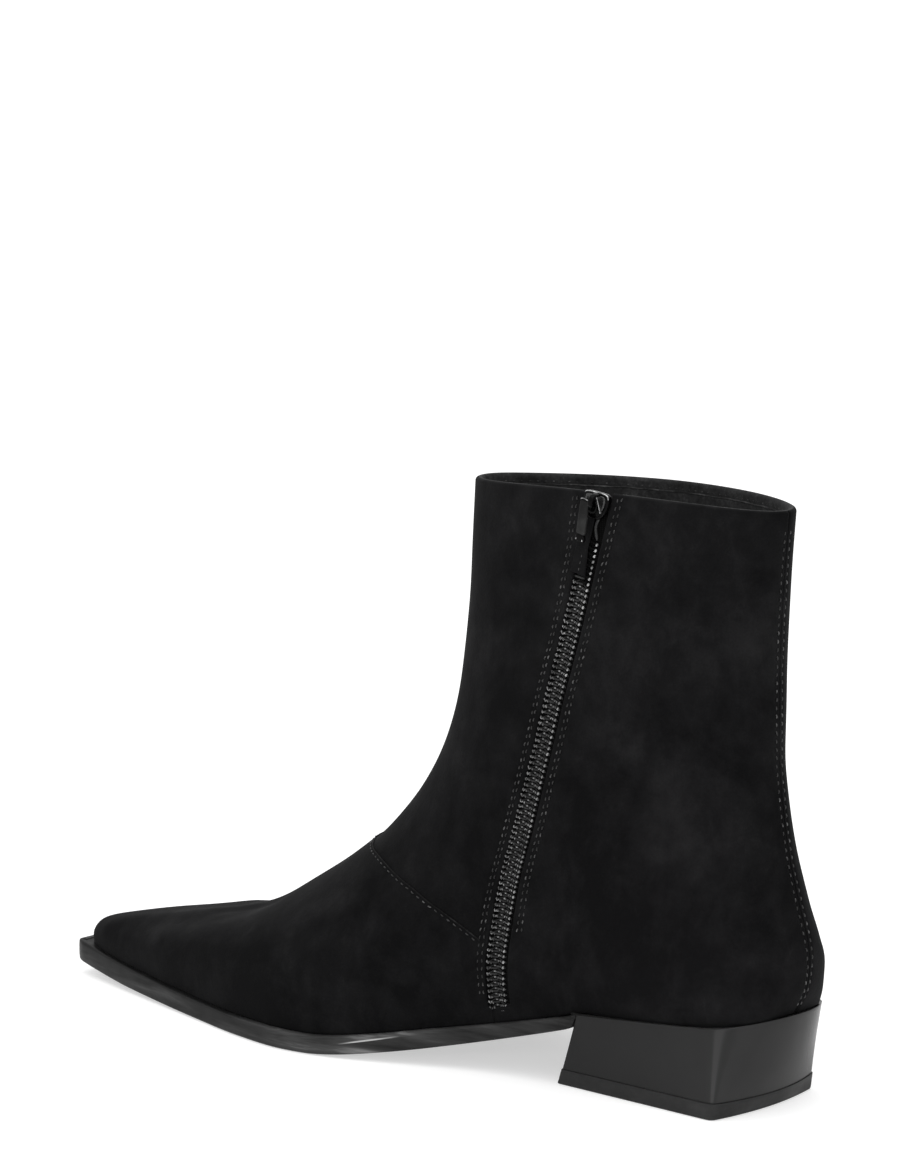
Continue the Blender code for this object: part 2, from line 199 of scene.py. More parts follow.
RING_SQUARE = 0.6
TAB_TOP = -0.5
TAB_END = -11.0
TAB_RINGS = ((0.3, -0.45), (0.08, -0.38), (0.0, -0.22), (0.0, 0.22), (0.08, 0.38), (0.25, 0.45),
             (0.45, 0.47))
TIP_TOP = -10.7
TIP_RINGS = ((0.35, -0.55), (0.1, -0.5), (0.0, -0.36), (0.0, 0.34), (0.12, 0.5), (0.35, 0.58), (0.7, 0.6))
STUD_ASIDE = 1.15
STUD_UP = 0.75
STUD_OUT = 0.55
STUD_HALF = 0.2
STUD_RADIUS = 0.34
PULL_PIVOT = np.array([0.0, BRIDGE_UP, SLIDER_THICK + BRIDGE_CLEAR / 2])


def columns(names, rows):
    """A table as one array for each named column; the first column is the one looked up."""
    return dict(zip(names.split(), np.array(rows, float).T))


# Edges of the sole and heel seat in plan
PLAN = columns("s medial lateral", [
    (-12, 27.2, -27.2), (20, 27.4, -27.4), (45, 27.2, -27.6), (62, 26.6, -28.6), (80, 26.6, -31.0),
    (100, 30.2, -34.6), (120, 37.4, -37.2), (140, 44.8, -37.8), (160, 48.2, -36.0), (180, 45.6, -31.6),
    (205, 39.2, -24.0), (230, 32.6, -15.0), (255, 25.9, -5.0), (280, 19.0, 6.2),
])

# Slices of the upper from the feather line to the collar
SLICES = columns("level back_s back_z front_s front_z half plan swell back_n back_square front_n sag", [
    (0.00, -5.6, 30.2, 275.6, 11.4, 26.0, 1.00, 1.000, 34.0, 2.6, 70.0, 1.00),
    (0.05, -8.9, 37.2, 275.2, 15.0, 30.0, 0.94, 1.030, 20.0, 2.2, 44.0, 0.93),
    (0.10, -9.9, 45.0, 271.6, 19.4, 31.0, 0.90, 1.045, 16.0, 2.1, 22.0, 0.84),
    (0.16, -9.0, 52.0, 261.5, 24.6, 30.5, 0.90, 1.040, 13.0, 2.0, 13.0, 0.74),
    (0.27, -6.4, 64.0, 225.0, 32.8, 30.0, 0.85, 1.000, 9.5, 2.0, 7.6, 0.55),
    (0.38, -3.0, 80.0, 187.0, 43.6, 30.0, 0.62, 0.970, 5.6, 2.0, 5.0, 0.34),
    (0.50, 0.2, 97.0, 156.5, 61.2, 30.2, 0.28, 0.960, 2.2, 2.0, 2.7, 0.16),
    (0.62, 1.9, 116.0, 134.5, 81.2, 28.4, 0.06, 0.960, 1.1, 2.0, 1.6, 0.04),
    (0.75, 1.8, 137.0, 120.8, 109.5, 25.9, 0.00, 0.960, 0.9, 2.0, 1.2, 0.00),
    (0.88, 0.6, 158.5, 115.9, 141.5, 24.0, 0.00, 0.960, 0.95, 2.0, 1.05, 0.00),
    (1.00, -1.3, 180.6, 114.9, 180.6, 23.2, 0.00, 0.960, 1.0, 2.0, 1.0, 0.00),
])

# Centre line of the zip up the medial side
ZIP = columns("z s", [
    (15, 87.6), (38, 87.8), (60, 83.5), (80, 76.2), (100, 70.9), (120, 66.8), (140, 61.9), (185, 51.0),
])

# Plan of the heel block at the floor and at the seat
HEEL = columns("share back_s corner_s half_back front_s half_front corner_round", [
    (0.0, 3.6, 6.7, 24.8, 67.9, 22.2, 2.0),
    (1.0, -7.2, 4.4, 26.2, 57.0, 27.0, 5.0),
])

# Right half of the slider's shield, in shares of its half width and length, and a facet, in millimetres
SHIELD = columns("across along", [(0.45, -0.42), (0.88, -0.08), (1.00, 0.22), (0.96, 0.42), (0.72, 0.50)])
WING = (WING_LINE[0], (2.9, -0.9), (3.5, 0.8), (3.75, 2.4), (3.3, 3.7), WING_LINE[1])

# How far aside the pull hangs
PULL_LEAN = columns("drop across", [(0.0, -2.5), (1.4, -2.45), (10.5, -1.65), (14.0, -1.1)])

# One turn of the coil: over the top, round the bend and back underneath; y above 0 is in shares of a pitch
COIL_TURN = columns("x y z", [
    (-0.60, 0.02, -0.70), (-0.48, 0.02, -0.54), (-0.10, 0.00, -0.50), (0.62, -0.06, -0.48),
    (1.50, -0.14, -0.48), (2.35, -0.24, -0.52), (2.90, -0.34, -0.64), (3.12, -0.42, -0.84),
    (2.90, -0.30, -1.04), (2.10, -0.10, -1.12), (1.00, 0.30, -1.12), (0.00, 0.70, -1.10),
    (-0.45, 0.92, -1.00), (-0.62, 0.99, -0.86),
])

# Edge of the tape that runs up from the coil to the slider
TAPE_BENDS = columns("y x", [
    (-10.2, 2.05), (-9.2, 1.65), (-7.7, 0.95), (-6.0, 0.55), (-4.4, 0.80), (-2.4, 1.60),
])

# Edge of the vamp where it overlaps the quarters, up the medial side to the front ridge
VAMP_EDGE = columns("turn level", [
    (0.1700, 0.000), (0.1900, 0.105), (0.2190, 0.222), (0.2340, 0.266), (0.2550, 0.316), (0.2755, 0.356),
    (0.2990, 0.398), (0.3215, 0.430), (0.3505, 0.464), (0.4155, 0.508), (0.5000, 0.530),
])

# Stitch rows beside the zip, in millimetres ahead of its centre line
ZIP_ROWS = columns("level front_outer front_inner back_inner back_outer", [
    (0.04, 5.9, 4.5, -6.0, -7.6),
    (0.08, 6.3, 4.9, -6.1, -8.0),
    (0.16, 6.8, 5.2, -6.3, -8.2),
    (0.30, 7.5, 6.1, -6.3, -7.9),
    (0.60, 7.6, 6.3, -6.2, -7.6),
    (0.85, 7.7, 6.4, -6.2, -7.6),
    (0.93, 8.2, 6.8, -6.2, -7.6),
    (1.00, 10.2, 8.6, -6.4, -7.9),
])

# Folds worn into the upper, each with its height and breadth in millimetres and a path on the skin
FOLDS = [
    (0.55, 4.0, [(0.4465, 0.106), (0.449, 0.208), (0.460, 0.268), (0.465, 0.324)]),
    (-0.75, 3.4, [(0.4555, 0.292), (0.452, 0.330), (0.449, 0.362)]),
    (-0.50, 5.0, [(0.420, 0.190), (0.418, 0.260), (0.425, 0.320)]),
    (0.45, 4.5, [(0.552, 0.120), (0.546, 0.215), (0.538, 0.290)]),
    (-0.60, 4.0, [(0.545, 0.300), (0.556, 0.350), (0.572, 0.380)]),
    (-0.45, 9.0, [(0.300, 0.520), (0.350, 0.560), (0.410, 0.575)]),
    (-0.45, 9.0, [(0.700, 0.500), (0.640, 0.555), (0.590, 0.575)]),
    (0.35, 8.0, [(0.120, 0.300), (0.100, 0.380), (0.080, 0.430)]),
    (-0.40, 10.0, [(0.150, 0.640), (0.110, 0.600), (0.060, 0.560)]),
    (-0.40, 10.0, [(0.850, 0.620), (0.900, 0.590), (0.940, 0.560)]),
    (0.40, 10.0, [(0.780, 0.420), (0.830, 0.380), (0.880, 0.330)]),
]

# Corrections to the photograph's outline, in millimetres out of the skin, on the front ridge and at the back
FRONT_FIT = columns("level mm", [
    (0.00, 0.5), (0.08, 0.7), (0.17, -0.8), (0.26, 0.6), (0.34, -0.1), (0.41, 1.9), (0.54, 0.8), (0.60, 1.2),
    (0.69, 0.4), (0.83, 1.4), (1.00, 0.4),
])
BACK_FIT = columns("level mm", [
    (0.00, -0.3), (0.07, 0.6), (0.15, 0.9), (0.27, -0.2), (0.37, -1.0), (0.52, -0.2), (0.64, 0.4),
    (0.75, 0.1), (1.00, 0.0),
])


def smooth(xs, ys, x):
    """Smooth curve through points, with the slope at each taken from its neighbours."""
    slope = np.gradient(ys, xs)
    x = np.clip(x, xs[0], xs[-1])
    i = np.clip(np.searchsorted(xs, x) - 1, 0, len(xs) - 2)
    step = xs[i + 1] - xs[i]
    q = (x - xs[i]) / step
    rise = slope[i] * (1 - q) - slope[i + 1] * q
    return ys[i] * (1 + 2 * q) * (1 - q) ** 2 + ys[i + 1] * q * q * (3 - 2 * q) + rise * step * q * (1 - q)


def curve(table, name, x):
    """A table's column as a smooth curve over its first column."""
    return smooth(next(iter(table.values())), table[name], x)


def line(table, name, x):
    """A table's column as straight lines over its first column."""
    return np.interp(x, next(iter(table.values())), table[name])


def mix(a, b, share):
    """A value between a and b."""
    return a + (b - a) * share


def unit(v):
    """Vectors at length one."""
    return v / np.linalg.norm(v, axis=-1, keepdims=True)


def xyz(x, y, z):
    """Points from three coordinates, each an array or one value."""
    return np.stack(np.broadcast_arrays(x, y, z), -1)


def signed_power(v, power):
    """A power that keeps the sign."""
    return np.sign(v) * np.abs(v) ** power


def path_length(path):
    """Distance along a path at each of its points."""
    return np.concatenate([[0], np.cumsum(np.linalg.norm(np.diff(path, axis=0), axis=1))])


def along_path(stops, length, vectors):
    """Vectors at stops between those given at each length of a path."""
    return np.stack([np.interp(stops, length, part) for part in vectors.T], -1)


# The last, nearly as in the CAD source

def sole_bottom(s):
    """Height of the tread."""
    toe = np.clip((s - TREAD_FRONT) / (TIP - TREAD_FRONT), 0, None)
    shank = np.clip((TREAD_BACK - s) / (TREAD_BACK - BREAST), 0, None)
    return TOE_SPRING * toe ** 2 + SHANK_RISE * shank ** SHANK_CURVE


def sole_top(s):
    """Height of the sole's upper face."""
    return sole_bottom(s) + np.interp(s, (BREAST, EDGE_THINS_FROM), (EDGE_AT_BREAST, EDGE))


def seat(s):
    """Height of the heel block's sloping top."""
    s = np.asarray(s, float)
    lip = SEAT_LIP * np.clip((SEAT_LIP_FROM - s) / SEAT_LIP_REACH, 0, 1) ** 2
    return float(sole_top(BREAST)) + SEAT_SLOPE * (BREAST - s) + lip


HEEL_HEIGHT = float(seat(BREAST))


def bed(s):
    """Underside of the upper and insole."""
    top = np.where(np.asarray(s) > BREAST, sole_top(s), seat(s))
    return top + GAP + BREAST_EASE * np.exp(-((s - BREAST) / BREAST_EASE_REACH) ** 2)


def plan(s):
    """Centre and half breadth of the sole in plan."""
    medial, lateral = (curve(PLAN, name, s) for name in ("medial", "lateral"))
    return (medial + lateral) / 2, (medial - lateral) / 2


def ends(share, cut):
    """Rounds a slice off at both ends."""
    back = np.clip(1 - (1 - share) ** cut["back_n"], 0, 1) ** (1 / cut["back_square"])
    return back * np.sqrt(np.clip(1 - share ** cut["front_n"], 0, 1))


FIRST_SLICE = {name: column[0] for name, column in SLICES.items()}


def skin(turn, level):
    """Points of the upper's outer face; a turn runs from the back seam by the medial side and the toe."""
    turn, level = np.broadcast_arrays(np.asarray(turn, float), np.asarray(level, float))
    cut = {name: curve(SLICES, name, level) for name in SLICES}
    share = np.sin(math.pi * turn) ** 2
    s = mix(cut["back_s"], cut["front_s"], share)
    low_centre, low_half = plan(s)
    high_centre = SWING * np.clip((s - SWING_FROM) / (TIP - SWING_FROM), 0, 1) ** SWING_POWER
    breadth = mix(cut["half"], cut["swell"] * (low_half - LEDGE), cut["plan"])
    half = breadth * ends(share, cut) / ends(0.5, cut)
    side = np.where(turn % 1.0 < 0.5, 1.0, -1.0)
    m = mix(high_centre, low_centre, cut["sag"]) + side * half
    foot_s, foot_z = ([FIRST_SLICE[end + part] for end in ("back", "front")] for part in ("_s", "_z"))
    dip = bed(s) - np.interp(s, foot_s, foot_z)
    rise = np.where(side > 0, COLLAR_RISE_MEDIAL, COLLAR_RISE_LATERAL) * 4 * share * (1 - share)
    saddle = level ** COLLAR_RISE_POWER * (rise + COLLAR_RISE_FRONT * share ** COLLAR_FRONT_POWER)
    z = mix(cut["back_z"], cut["front_z"], share) + cut["sag"] * dip + saddle
    return np.stack([s, m, z], -1)


def skin_frame(turn, level):
    """Point on the skin, the direction up it and its outward normal."""
    around = skin(turn + TINY, level) - skin(turn - TINY, level)
    up = skin(turn, np.minimum(level + TINY, 1)) - skin(turn, np.maximum(level - TINY, 0))
    return skin(turn, level), unit(up), unit(np.cross(up, around))


def zip_turn(level):
    """Where the zip's centre line crosses each slice, found by stepping towards it."""
    back, front = (curve(SLICES, name, level) for name in ("back_s", "front_s"))
    turn = np.full(np.shape(level), 0.25)
    for _ in range(12):
        s = curve(ZIP, "s", skin(turn, level)[..., 2])
        turn = np.arcsin(np.sqrt((s - back) / (front - back))) / math.pi
    return turn


def turn_per_mm(turn, level):
    """Turn that makes one millimetre round the slice."""
    chord = skin(turn + TINY, level) - skin(turn - TINY, level)
    return 2 * TINY / np.linalg.norm(chord, axis=-1)


# Places on the skin, measured from the zip and from the back seam

LEVELS = np.linspace(0, 1, 401)
ZIP_TURN = zip_turn(LEVELS)
ZIP_PER_MM = turn_per_mm(ZIP_TURN, LEVELS)
BACK_PER_MM = turn_per_mm(np.zeros_like(LEVELS), LEVELS)


def zip_side(level, ahead):
    """Turn at a distance in millimetres ahead of the zip's centre line."""
    return np.interp(level, LEVELS, ZIP_TURN) + ahead * np.interp(level, LEVELS, ZIP_PER_MM)


def ahead_of_zip(turn, level):
    """Distance in millimetres ahead of the zip's centre line."""
    return (turn - np.interp(level, LEVELS, ZIP_TURN)) / np.interp(level, LEVELS, ZIP_PER_MM)


def back_per_mm(level):
    """Turn that makes one millimetre at the back seam."""
    return np.interp(level, LEVELS, BACK_PER_MM)


def vamp_level(turn):
    """Level of the vamp's edge, the same on both sides of the front ridge."""
    return curve(VAMP_EDGE, "level", np.where(turn > 0.5, 1 - turn, turn))


def nearest(points, path):
    """Distance from each point to the nearest of a path's points."""
    return np.sqrt(((points[..., None, :] - path) ** 2).sum(-1).min(-1))


def path_on_skin(stops, count=40):
    """Points along a smooth path through stops of turn and level."""
    at = np.linspace(0, 1, len(stops))
    q = np.linspace(0, 1, count)
    return skin(*(smooth(at, part, q) for part in np.array(stops, float).T))


FOLD_PATHS = [(height, breadth, path_on_skin(stops)) for height, breadth, stops in FOLDS]
VAMP_TURNS = np.linspace(0.172, 0.5, 220)
VAMP_LINE = np.concatenate([skin(t, vamp_level(t)) for t in (VAMP_TURNS, 1 - VAMP_TURNS[::-1])])


# Relief of the suede, in millimetres out of the skin

def roll(inside, radius):
    """Drop of a rounded edge at a distance inside it."""
    share = np.clip(1 - inside / radius, 0, 1)
    return -radius * (1 - np.sqrt(1 - share ** 2))


def trough(distance, depth=TROUGH_DEPTH, width=TROUGH_WIDTH):
    """Soft groove that a row of stitches pulls into the suede."""
    return -depth * np.exp(-(distance / width) ** 2)


def slack(points):
    """Small unevenness of cut and lasted suede."""
    s, m, z = np.moveaxis(points, -1, 0)
    wide = np.sin(s / 13.0 + 1.1 * np.sin(z / 17.0)) * np.sin(m / 15.0 + z / 19.0)
    close = np.sin(s / 5.1 + 0.9 * np.sin(m / 6.3)) * np.sin(z / 5.7 + m / 7.9)
    return 0.16 * wide + 0.04 * close


def outline_fit(turn, level):
    """Small correction of the ridge and the back to the photograph's outline."""
    ridge = (turn % 1.0 - 0.5) / FRONT_FIT_TURN
    seam = ((turn + 0.5) % 1.0 - 0.5) / BACK_FIT_TURN
    front = curve(FRONT_FIT, "mm", level) * np.exp(-ridge ** 2)
    return front + curve(BACK_FIT, "mm", level) * np.exp(-seam ** 2)


def relief(turn, level, points):
    """Outline correction, folds and slack together."""
    height = outline_fit(turn, level) + slack(points)
    for rise, breadth, path in FOLD_PATHS:
        height = height + rise * np.exp(-(nearest(points, path) / breadth) ** 2)
    return height


def zip_troughs(turn, level, names, start, fade=0.02):
    """Grooves of the stitch rows beside the zip."""
    ahead = ahead_of_zip(turn, level)
    grooves = sum(trough(ahead - line(ZIP_ROWS, name, level)) for name in names)
    return grooves * np.clip((level - start) / fade, 0, 1)


def back_troughs(turn, level, fade=0.01):
    """Grooves of the twin rows at the back seam, and the seam's own groove."""
    away = np.abs((turn + 0.5) % 1.0 - 0.5) / back_per_mm(level)
    return trough(away - BACK_ROW) * np.clip((BACK_ROW_TOP - level) / fade, 0, 1) + roll(away, EDGE_ROLL)


# Meshes

def grid_faces(rows, cols, closed=False):
    """Quads of a grid of points, facing outwards where rows run up and columns run round."""
    i, j = np.mgrid[0:rows - 1, 0:cols if closed else cols - 1]
    k = (j + 1) % cols
    return np.stack([i * cols + j, (i + 1) * cols + j, (i + 1) * cols + k, i * cols + k], -1).reshape(-1, 4)


def thicken(outer, inner, faces):
    """Sheet between two sets of points that share the same faces, with a rim round every open edge."""
    outer, inner = outer.reshape(-1, 3), inner.reshape(-1, 3)
    count = len(outer)
    a, b = faces.reshape(-1), np.roll(faces, -1, axis=1).reshape(-1)
    is_open = ~np.isin(b * count + a, a * count + b)
    a, b = a[is_open], b[is_open]
    rim = np.stack([b, a, a + count, b + count], -1)
    return np.concatenate([outer, inner]), np.concatenate([faces, faces[:, ::-1] + count, rim]).tolist()


def loft(loops, cap=True):
    """Solid through loops of equal length, first to last, capped at both ends."""
    loops = np.asarray(loops, float)
    rows, cols = loops.shape[:2]
    faces = grid_faces(rows, cols, closed=True).tolist()
    if cap:
        faces.append(list(range(cols)))
        faces.append(list(range((rows - 1) * cols, rows * cols))[::-1])
    return loops.reshape(-1, 3), faces


def turned_loft(loops):
    """Solid through loops that run from its underside to its top."""
    points, faces = loft(loops)
    return points, [face[::-1] for face in faces]


def tube(path, radius, sides=7):
    """Round bar along a path, with its ends closed."""
    path = np.asarray(path, float)
    along = unit(np.gradient(path, axis=0))
    side = np.cross(along[0], (0.3, 0.5, 0.8))
    turns = np.linspace(0, 2 * math.pi, sides, endpoint=False)
    loops = []
    for point, way, r in zip(path, along, np.broadcast_to(radius, len(path))):
        side = unit(side - way * (side @ way))
        other = np.cross(way, side)
        loops.append(point + r * (np.cos(turns)[:, None] * side + np.sin(turns)[:, None] * other))
    return loft(loops)


def copies(template, places, axes):
    """One template at many places; axes holds each copy's three directions as rows."""
    points, faces = template
    moved = np.einsum("pk,nkc->npc", points, axes) + places[:, None, :]
    base = np.array([face for face in faces if len(face) == 4])
    caps = [face for face in faces if len(face) != 4]
    count = len(points)
    every = (base[None] + np.arange(len(places))[:, None, None] * count).reshape(-1, 4).tolist()
    for n in range(len(places)):
        every.extend([index + n * count for index in face] for face in caps)
    return moved.reshape(-1, 3), every


OFFSET = np.array([
    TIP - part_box("outsole")[1].x / MM,
    -(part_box("heel")[0].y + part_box("heel")[1].y) / 2 / MM,
    0.0,
])


def to_row(points):
    """Points of the last, in millimetres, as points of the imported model, in metres."""
    return (np.asarray(points) - OFFSET) * MM


def add_object(name, data):
    """Links new data to the scene."""
    thing = bpy.data.objects.new(name, data)
    bpy.context.scene.collection.objects.link(thing)
    return thing


def new_piece(name, parts, finish, nodes=(), body="boot", sharp=50):
    """Links parts, each points and faces in millimetres of the last, as one piece that rides on a body."""
    faces, count = [], 0
    for part_points, part_faces in parts:
        faces.extend([index + count for index in face] for face in part_faces)
        count += len(part_points)
    points = np.concatenate([part_points for part_points, _ in parts])
    used = np.unique(np.concatenate([np.asarray(face) for face in faces]))
    place = np.full(len(points), -1)
    place[used] = np.arange(len(used))
    mesh = bpy.data.meshes.new(name)
    mesh.from_pydata(to_row(points[used]).tolist(), [], [[int(place[i]) for i in face] for face in faces])
    mesh.validate()
    mesh.shade_smooth()
    mesh.set_sharp_from_angle(angle=math.radians(sharp))
    mesh.materials.append(finish)
    piece = add_object(name, mesh)
    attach(piece, body)
    if nodes:
        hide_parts(*nodes)


# Materials

class Nodes:
    """One material's node tree, with short ways to add textures to its shader."""

    def __init__(self, name, **sockets):
        self.material = bpy.data.materials.new(name)
        self.material.use_nodes = True
        self.tree = self.material.node_tree
        self.shader = self.tree.nodes["Principled BSDF"]
        for key, value in sockets.items():
            self.shader.inputs[key.replace("_", " ")].default_value = value
        places = self.add("ShaderNodeTexCoord").outputs
        self.coords, self.facing = places["Object"], places["Normal"]

    def add(self, kind, inputs=None, **settings):
        node = self.tree.nodes.new(kind)
        for key, value in settings.items():
            setattr(node, key, value)
        for key, value in (inputs or {}).items():
            if isinstance(value, bpy.types.NodeSocket):
                self.tree.links.new(value, node.inputs[key])
            else:
                node.inputs[key].default_value = value
        return node

    def mapped(self, **settings):
        return self.add("ShaderNodeMapping", {"Vector": self.coords, **settings}).outputs["Vector"]

    def noise(self, scale, detail=3.0, rough=0.55, distortion=0.0, coords=None):
        return self.add("ShaderNodeTexNoise", {
            "Vector": coords or self.coords, "Scale": scale, "Detail": detail, "Roughness": rough,
            "Distortion": distortion,
        }).outputs["Fac"]

    def wave(self, scale, distortion, direction, coords=None):
        return self.add("ShaderNodeTexWave", {
            "Vector": coords or self.coords, "Scale": scale, "Distortion": distortion, "Detail": 2.0,
        }, bands_direction=direction).outputs["Fac"]

    def math(self, operation, a, b):
        return self.add("ShaderNodeMath", {0: a, 1: b}, operation=operation).outputs[0]

    def times(self, a, b):
        return self.math("MULTIPLY", a, b)

    def total(self, first, *others):
        for other in others:
            first = self.math("ADD", first, other)
        return first

    def blend(self, a, b, share):
        """Sum of a and b, in which b has a share of the whole."""
        return self.total(self.times(a, 1 - share), self.times(b, share))

    def between(self, vector, low, high, first, last, axis="Z"):
        """Value that runs from first to last while the vector's part along an axis runs from low to high."""
        part = self.add("ShaderNodeSeparateXYZ", {"Vector": vector}).outputs[axis]
        return self.add("ShaderNodeMapRange", {
            "Value": part, "From Min": low, "From Max": high, "To Min": first, "To Max": last,
        }).outputs["Result"]

    def window(self, vector, rise, fall, axis="X"):
        """1 between the stretch of an axis where it rises and the stretch where it falls, and 0 outside."""
        rising = self.between(vector, *rise, 0.0, 1.0, axis)
        return self.times(rising, self.between(vector, *fall, 1.0, 0.0, axis))

    def ramp(self, fac, stops, socket="Base Color"):
        node = self.add("ShaderNodeValToRGB", {"Fac": fac})
        marks = node.color_ramp.elements
        while len(marks) < len(stops):
            marks.new(0.5)
        for mark, (place, tone) in zip(marks, stops):
            mark.position = place
            mark.color = (*(tone if isinstance(tone, tuple) else (tone,) * 3), 1.0)
        self.tree.links.new(node.outputs["Color"], self.shader.inputs[socket])

    def bump(self, height, strength, depth_mm):
        node = self.add("ShaderNodeBump", {
            "Height": height, "Strength": strength, "Distance": depth_mm * MM,
        })
        before = self.shader.inputs["Normal"].links
        if before:
            self.tree.links.new(before[0].from_socket, node.inputs["Normal"])
        self.tree.links.new(node.outputs["Normal"], self.shader.inputs["Normal"])


def make_suede():
    """Black suede: brushed nap in soft patches, with a dull bloom at glancing angles; painted shade darkens
    it towards the floor and a painted highlight pales faces that look up.
    """
    nodes = Nodes("suede", Roughness=0.95, Sheen_Weight=0.022, Sheen_Roughness=0.4,
                  Sheen_Tint=(0.9, 0.9, 0.92, 1.0), Specular_IOR_Level=0.04)
    patches = nodes.noise(34, 4.0, 0.6, 0.5)
    strokes = nodes.noise(130, 4.0, 0.62, 0.3, nodes.mapped(Scale=(1.0, 1.0, 0.7)))
    nap = nodes.noise(1500, 2.0, 0.7)
    tone = nodes.blend(nodes.blend(patches, strokes, 0.38), nap, 0.14)
    # Painted shade, darker towards the floor, and a painted highlight on faces that look up
    paler = nodes.total(nodes.between(nodes.coords, 0.03, 0.17, -0.075, 0.012),
                        nodes.between(nodes.facing, 0.5, 0.97, 0.0, 0.10))
    nodes.ramp(nodes.total(tone, paler), [
        (0.38, (0.0032, 0.0032, 0.0034)), (0.50, (0.0060, 0.0060, 0.0063)), (0.66, (0.0122, 0.0121, 0.0125)),
    ])
    nodes.bump(nodes.noise(420, 3.0, 0.6), 0.25, 0.25)
    nodes.bump(nap, 0.55, 0.16)
    return nodes.material


def make_raw_edge(name, dark, middle, pale):
    """Cut edge of the suede, rubbed paler in places."""
    nodes = Nodes(name, Roughness=0.9, Sheen_Weight=0.03, Specular_IOR_Level=0.08)
    fibres = nodes.noise(900, 3.0, 0.7)
    rubbed = nodes.blend(nodes.noise(110, 3.0, 0.6), fibres, 0.25)
    nodes.ramp(rubbed, [(0.44, dark), (0.54, middle), (0.64, pale)])
    nodes.bump(fibres, 0.6, 0.15)
    return nodes.material


def make_binding():
    """Suede folded over the collar, its nap brushed up and paler."""
    nodes = Nodes("binding", Roughness=0.95, Sheen_Weight=0.06, Sheen_Roughness=0.4, Specular_IOR_Level=0.05)
    nap = nodes.noise(700, 3.0, 0.7)
    nodes.ramp(nodes.blend(nodes.noise(60, 4.0, 0.6), nap, 0.4), [
        (0.38, (0.012, 0.012, 0.0122)), (0.52, (0.026, 0.026, 0.0264)), (0.66, (0.054, 0.054, 0.0545)),
    ])
    nodes.bump(nap, 0.7, 0.2)
    return nodes.material


def make_lining():
    """Soft black lining leather with a fine grain."""
    nodes = Nodes("lining", Roughness=0.7, Specular_IOR_Level=0.3)
    nodes.ramp(nodes.noise(45, 3.0, 0.6), [(0.35, (0.0105, 0.0105, 0.0107)), (0.7, (0.019, 0.0188, 0.0188))])
    cells = nodes.add("ShaderNodeTexVoronoi", {"Vector": nodes.coords, "Scale": 1100.0}).outputs["Distance"]
    nodes.bump(nodes.noise(300), 0.3, 0.15)
    nodes.bump(cells, 0.35, 0.1)
    return nodes.material


def make_thread():
    """Waxed black sewing thread, with its ply as fine slanted ridges."""
    nodes = Nodes("thread", Roughness=0.45, Sheen_Weight=0.03, Specular_IOR_Level=0.3)
    nodes.ramp(nodes.noise(380, 2.0), [(0.44, 0.008), (0.56, 0.020), (0.66, 0.07)])
    nodes.bump(nodes.wave(900, 2.0, "DIAGONAL", nodes.mapped(Scale=(1.0, 0.6, 1.0))), 0.5, 0.06)
    return nodes.material


def make_coil_painted_highlight():
    """Bends and noses of the coil, given a painted highlight: a bright, uneven tone that grows brighter up
    towards the slider.
    """
    nodes = Nodes("coil_painted_highlight", Specular_IOR_Level=0.95)
    # Painted highlight, brighter higher up the zip
    painted_shine = nodes.total(nodes.noise(330, 2.0), nodes.between(nodes.coords, 0.135, 0.168, 0.0, 0.2))
    nodes.ramp(painted_shine, [(0.36, 0.03), (0.5, 0.095), (0.64, 0.20), (0.8, 0.42)])
    nodes.ramp(nodes.noise(700), [(0.3, 0.10), (0.75, 0.22)], "Roughness")
    nodes.bump(nodes.noise(1300, 2.0), 0.15, 0.04)
    return nodes.material


def make_tape_edge():
    """Smooth woven edge of the tape beside the slider."""
    nodes = Nodes("tape_edge", Roughness=0.5, Specular_IOR_Level=0.25)
    weave = nodes.wave(700, 0.6, "Z")
    nodes.ramp(weave, [(0.1, 0.012), (0.8, 0.028)])
    nodes.bump(weave, 0.4, 0.06)
    return nodes.material


def make_tape():
    """Woven zip tape: ribs across, with the weft between them; its black is made darker still as painted
    shade in the gaps of the coil and the slot.
    """
    nodes = Nodes("tape", Roughness=0.9, Specular_IOR_Level=0.05)
    weave = nodes.times(nodes.wave(520, 0.6, "Z"), nodes.wave(420, 0.6, "X"))
    nodes.ramp(weave, [(0.1, 0.002), (0.8, 0.007)])
    nodes.bump(weave, 0.6, 0.15)
    return nodes.material


def make_pull():
    """Dull black pull tab, paler towards its end."""
    nodes = Nodes("pull", Roughness=0.55, Specular_IOR_Level=0.12)
    # Paler towards the tab's lower end
    rubbed = nodes.between(nodes.coords, 0.1715, 0.1765, 0.30, 0.0)
    tab_tone = nodes.total(nodes.times(nodes.noise(260), 0.5), rubbed)
    nodes.ramp(tab_tone, [(0.20, 0.0045), (0.32, 0.009), (0.55, 0.026)])
    nodes.bump(nodes.noise(1100), 0.3, 0.06)
    return nodes.material


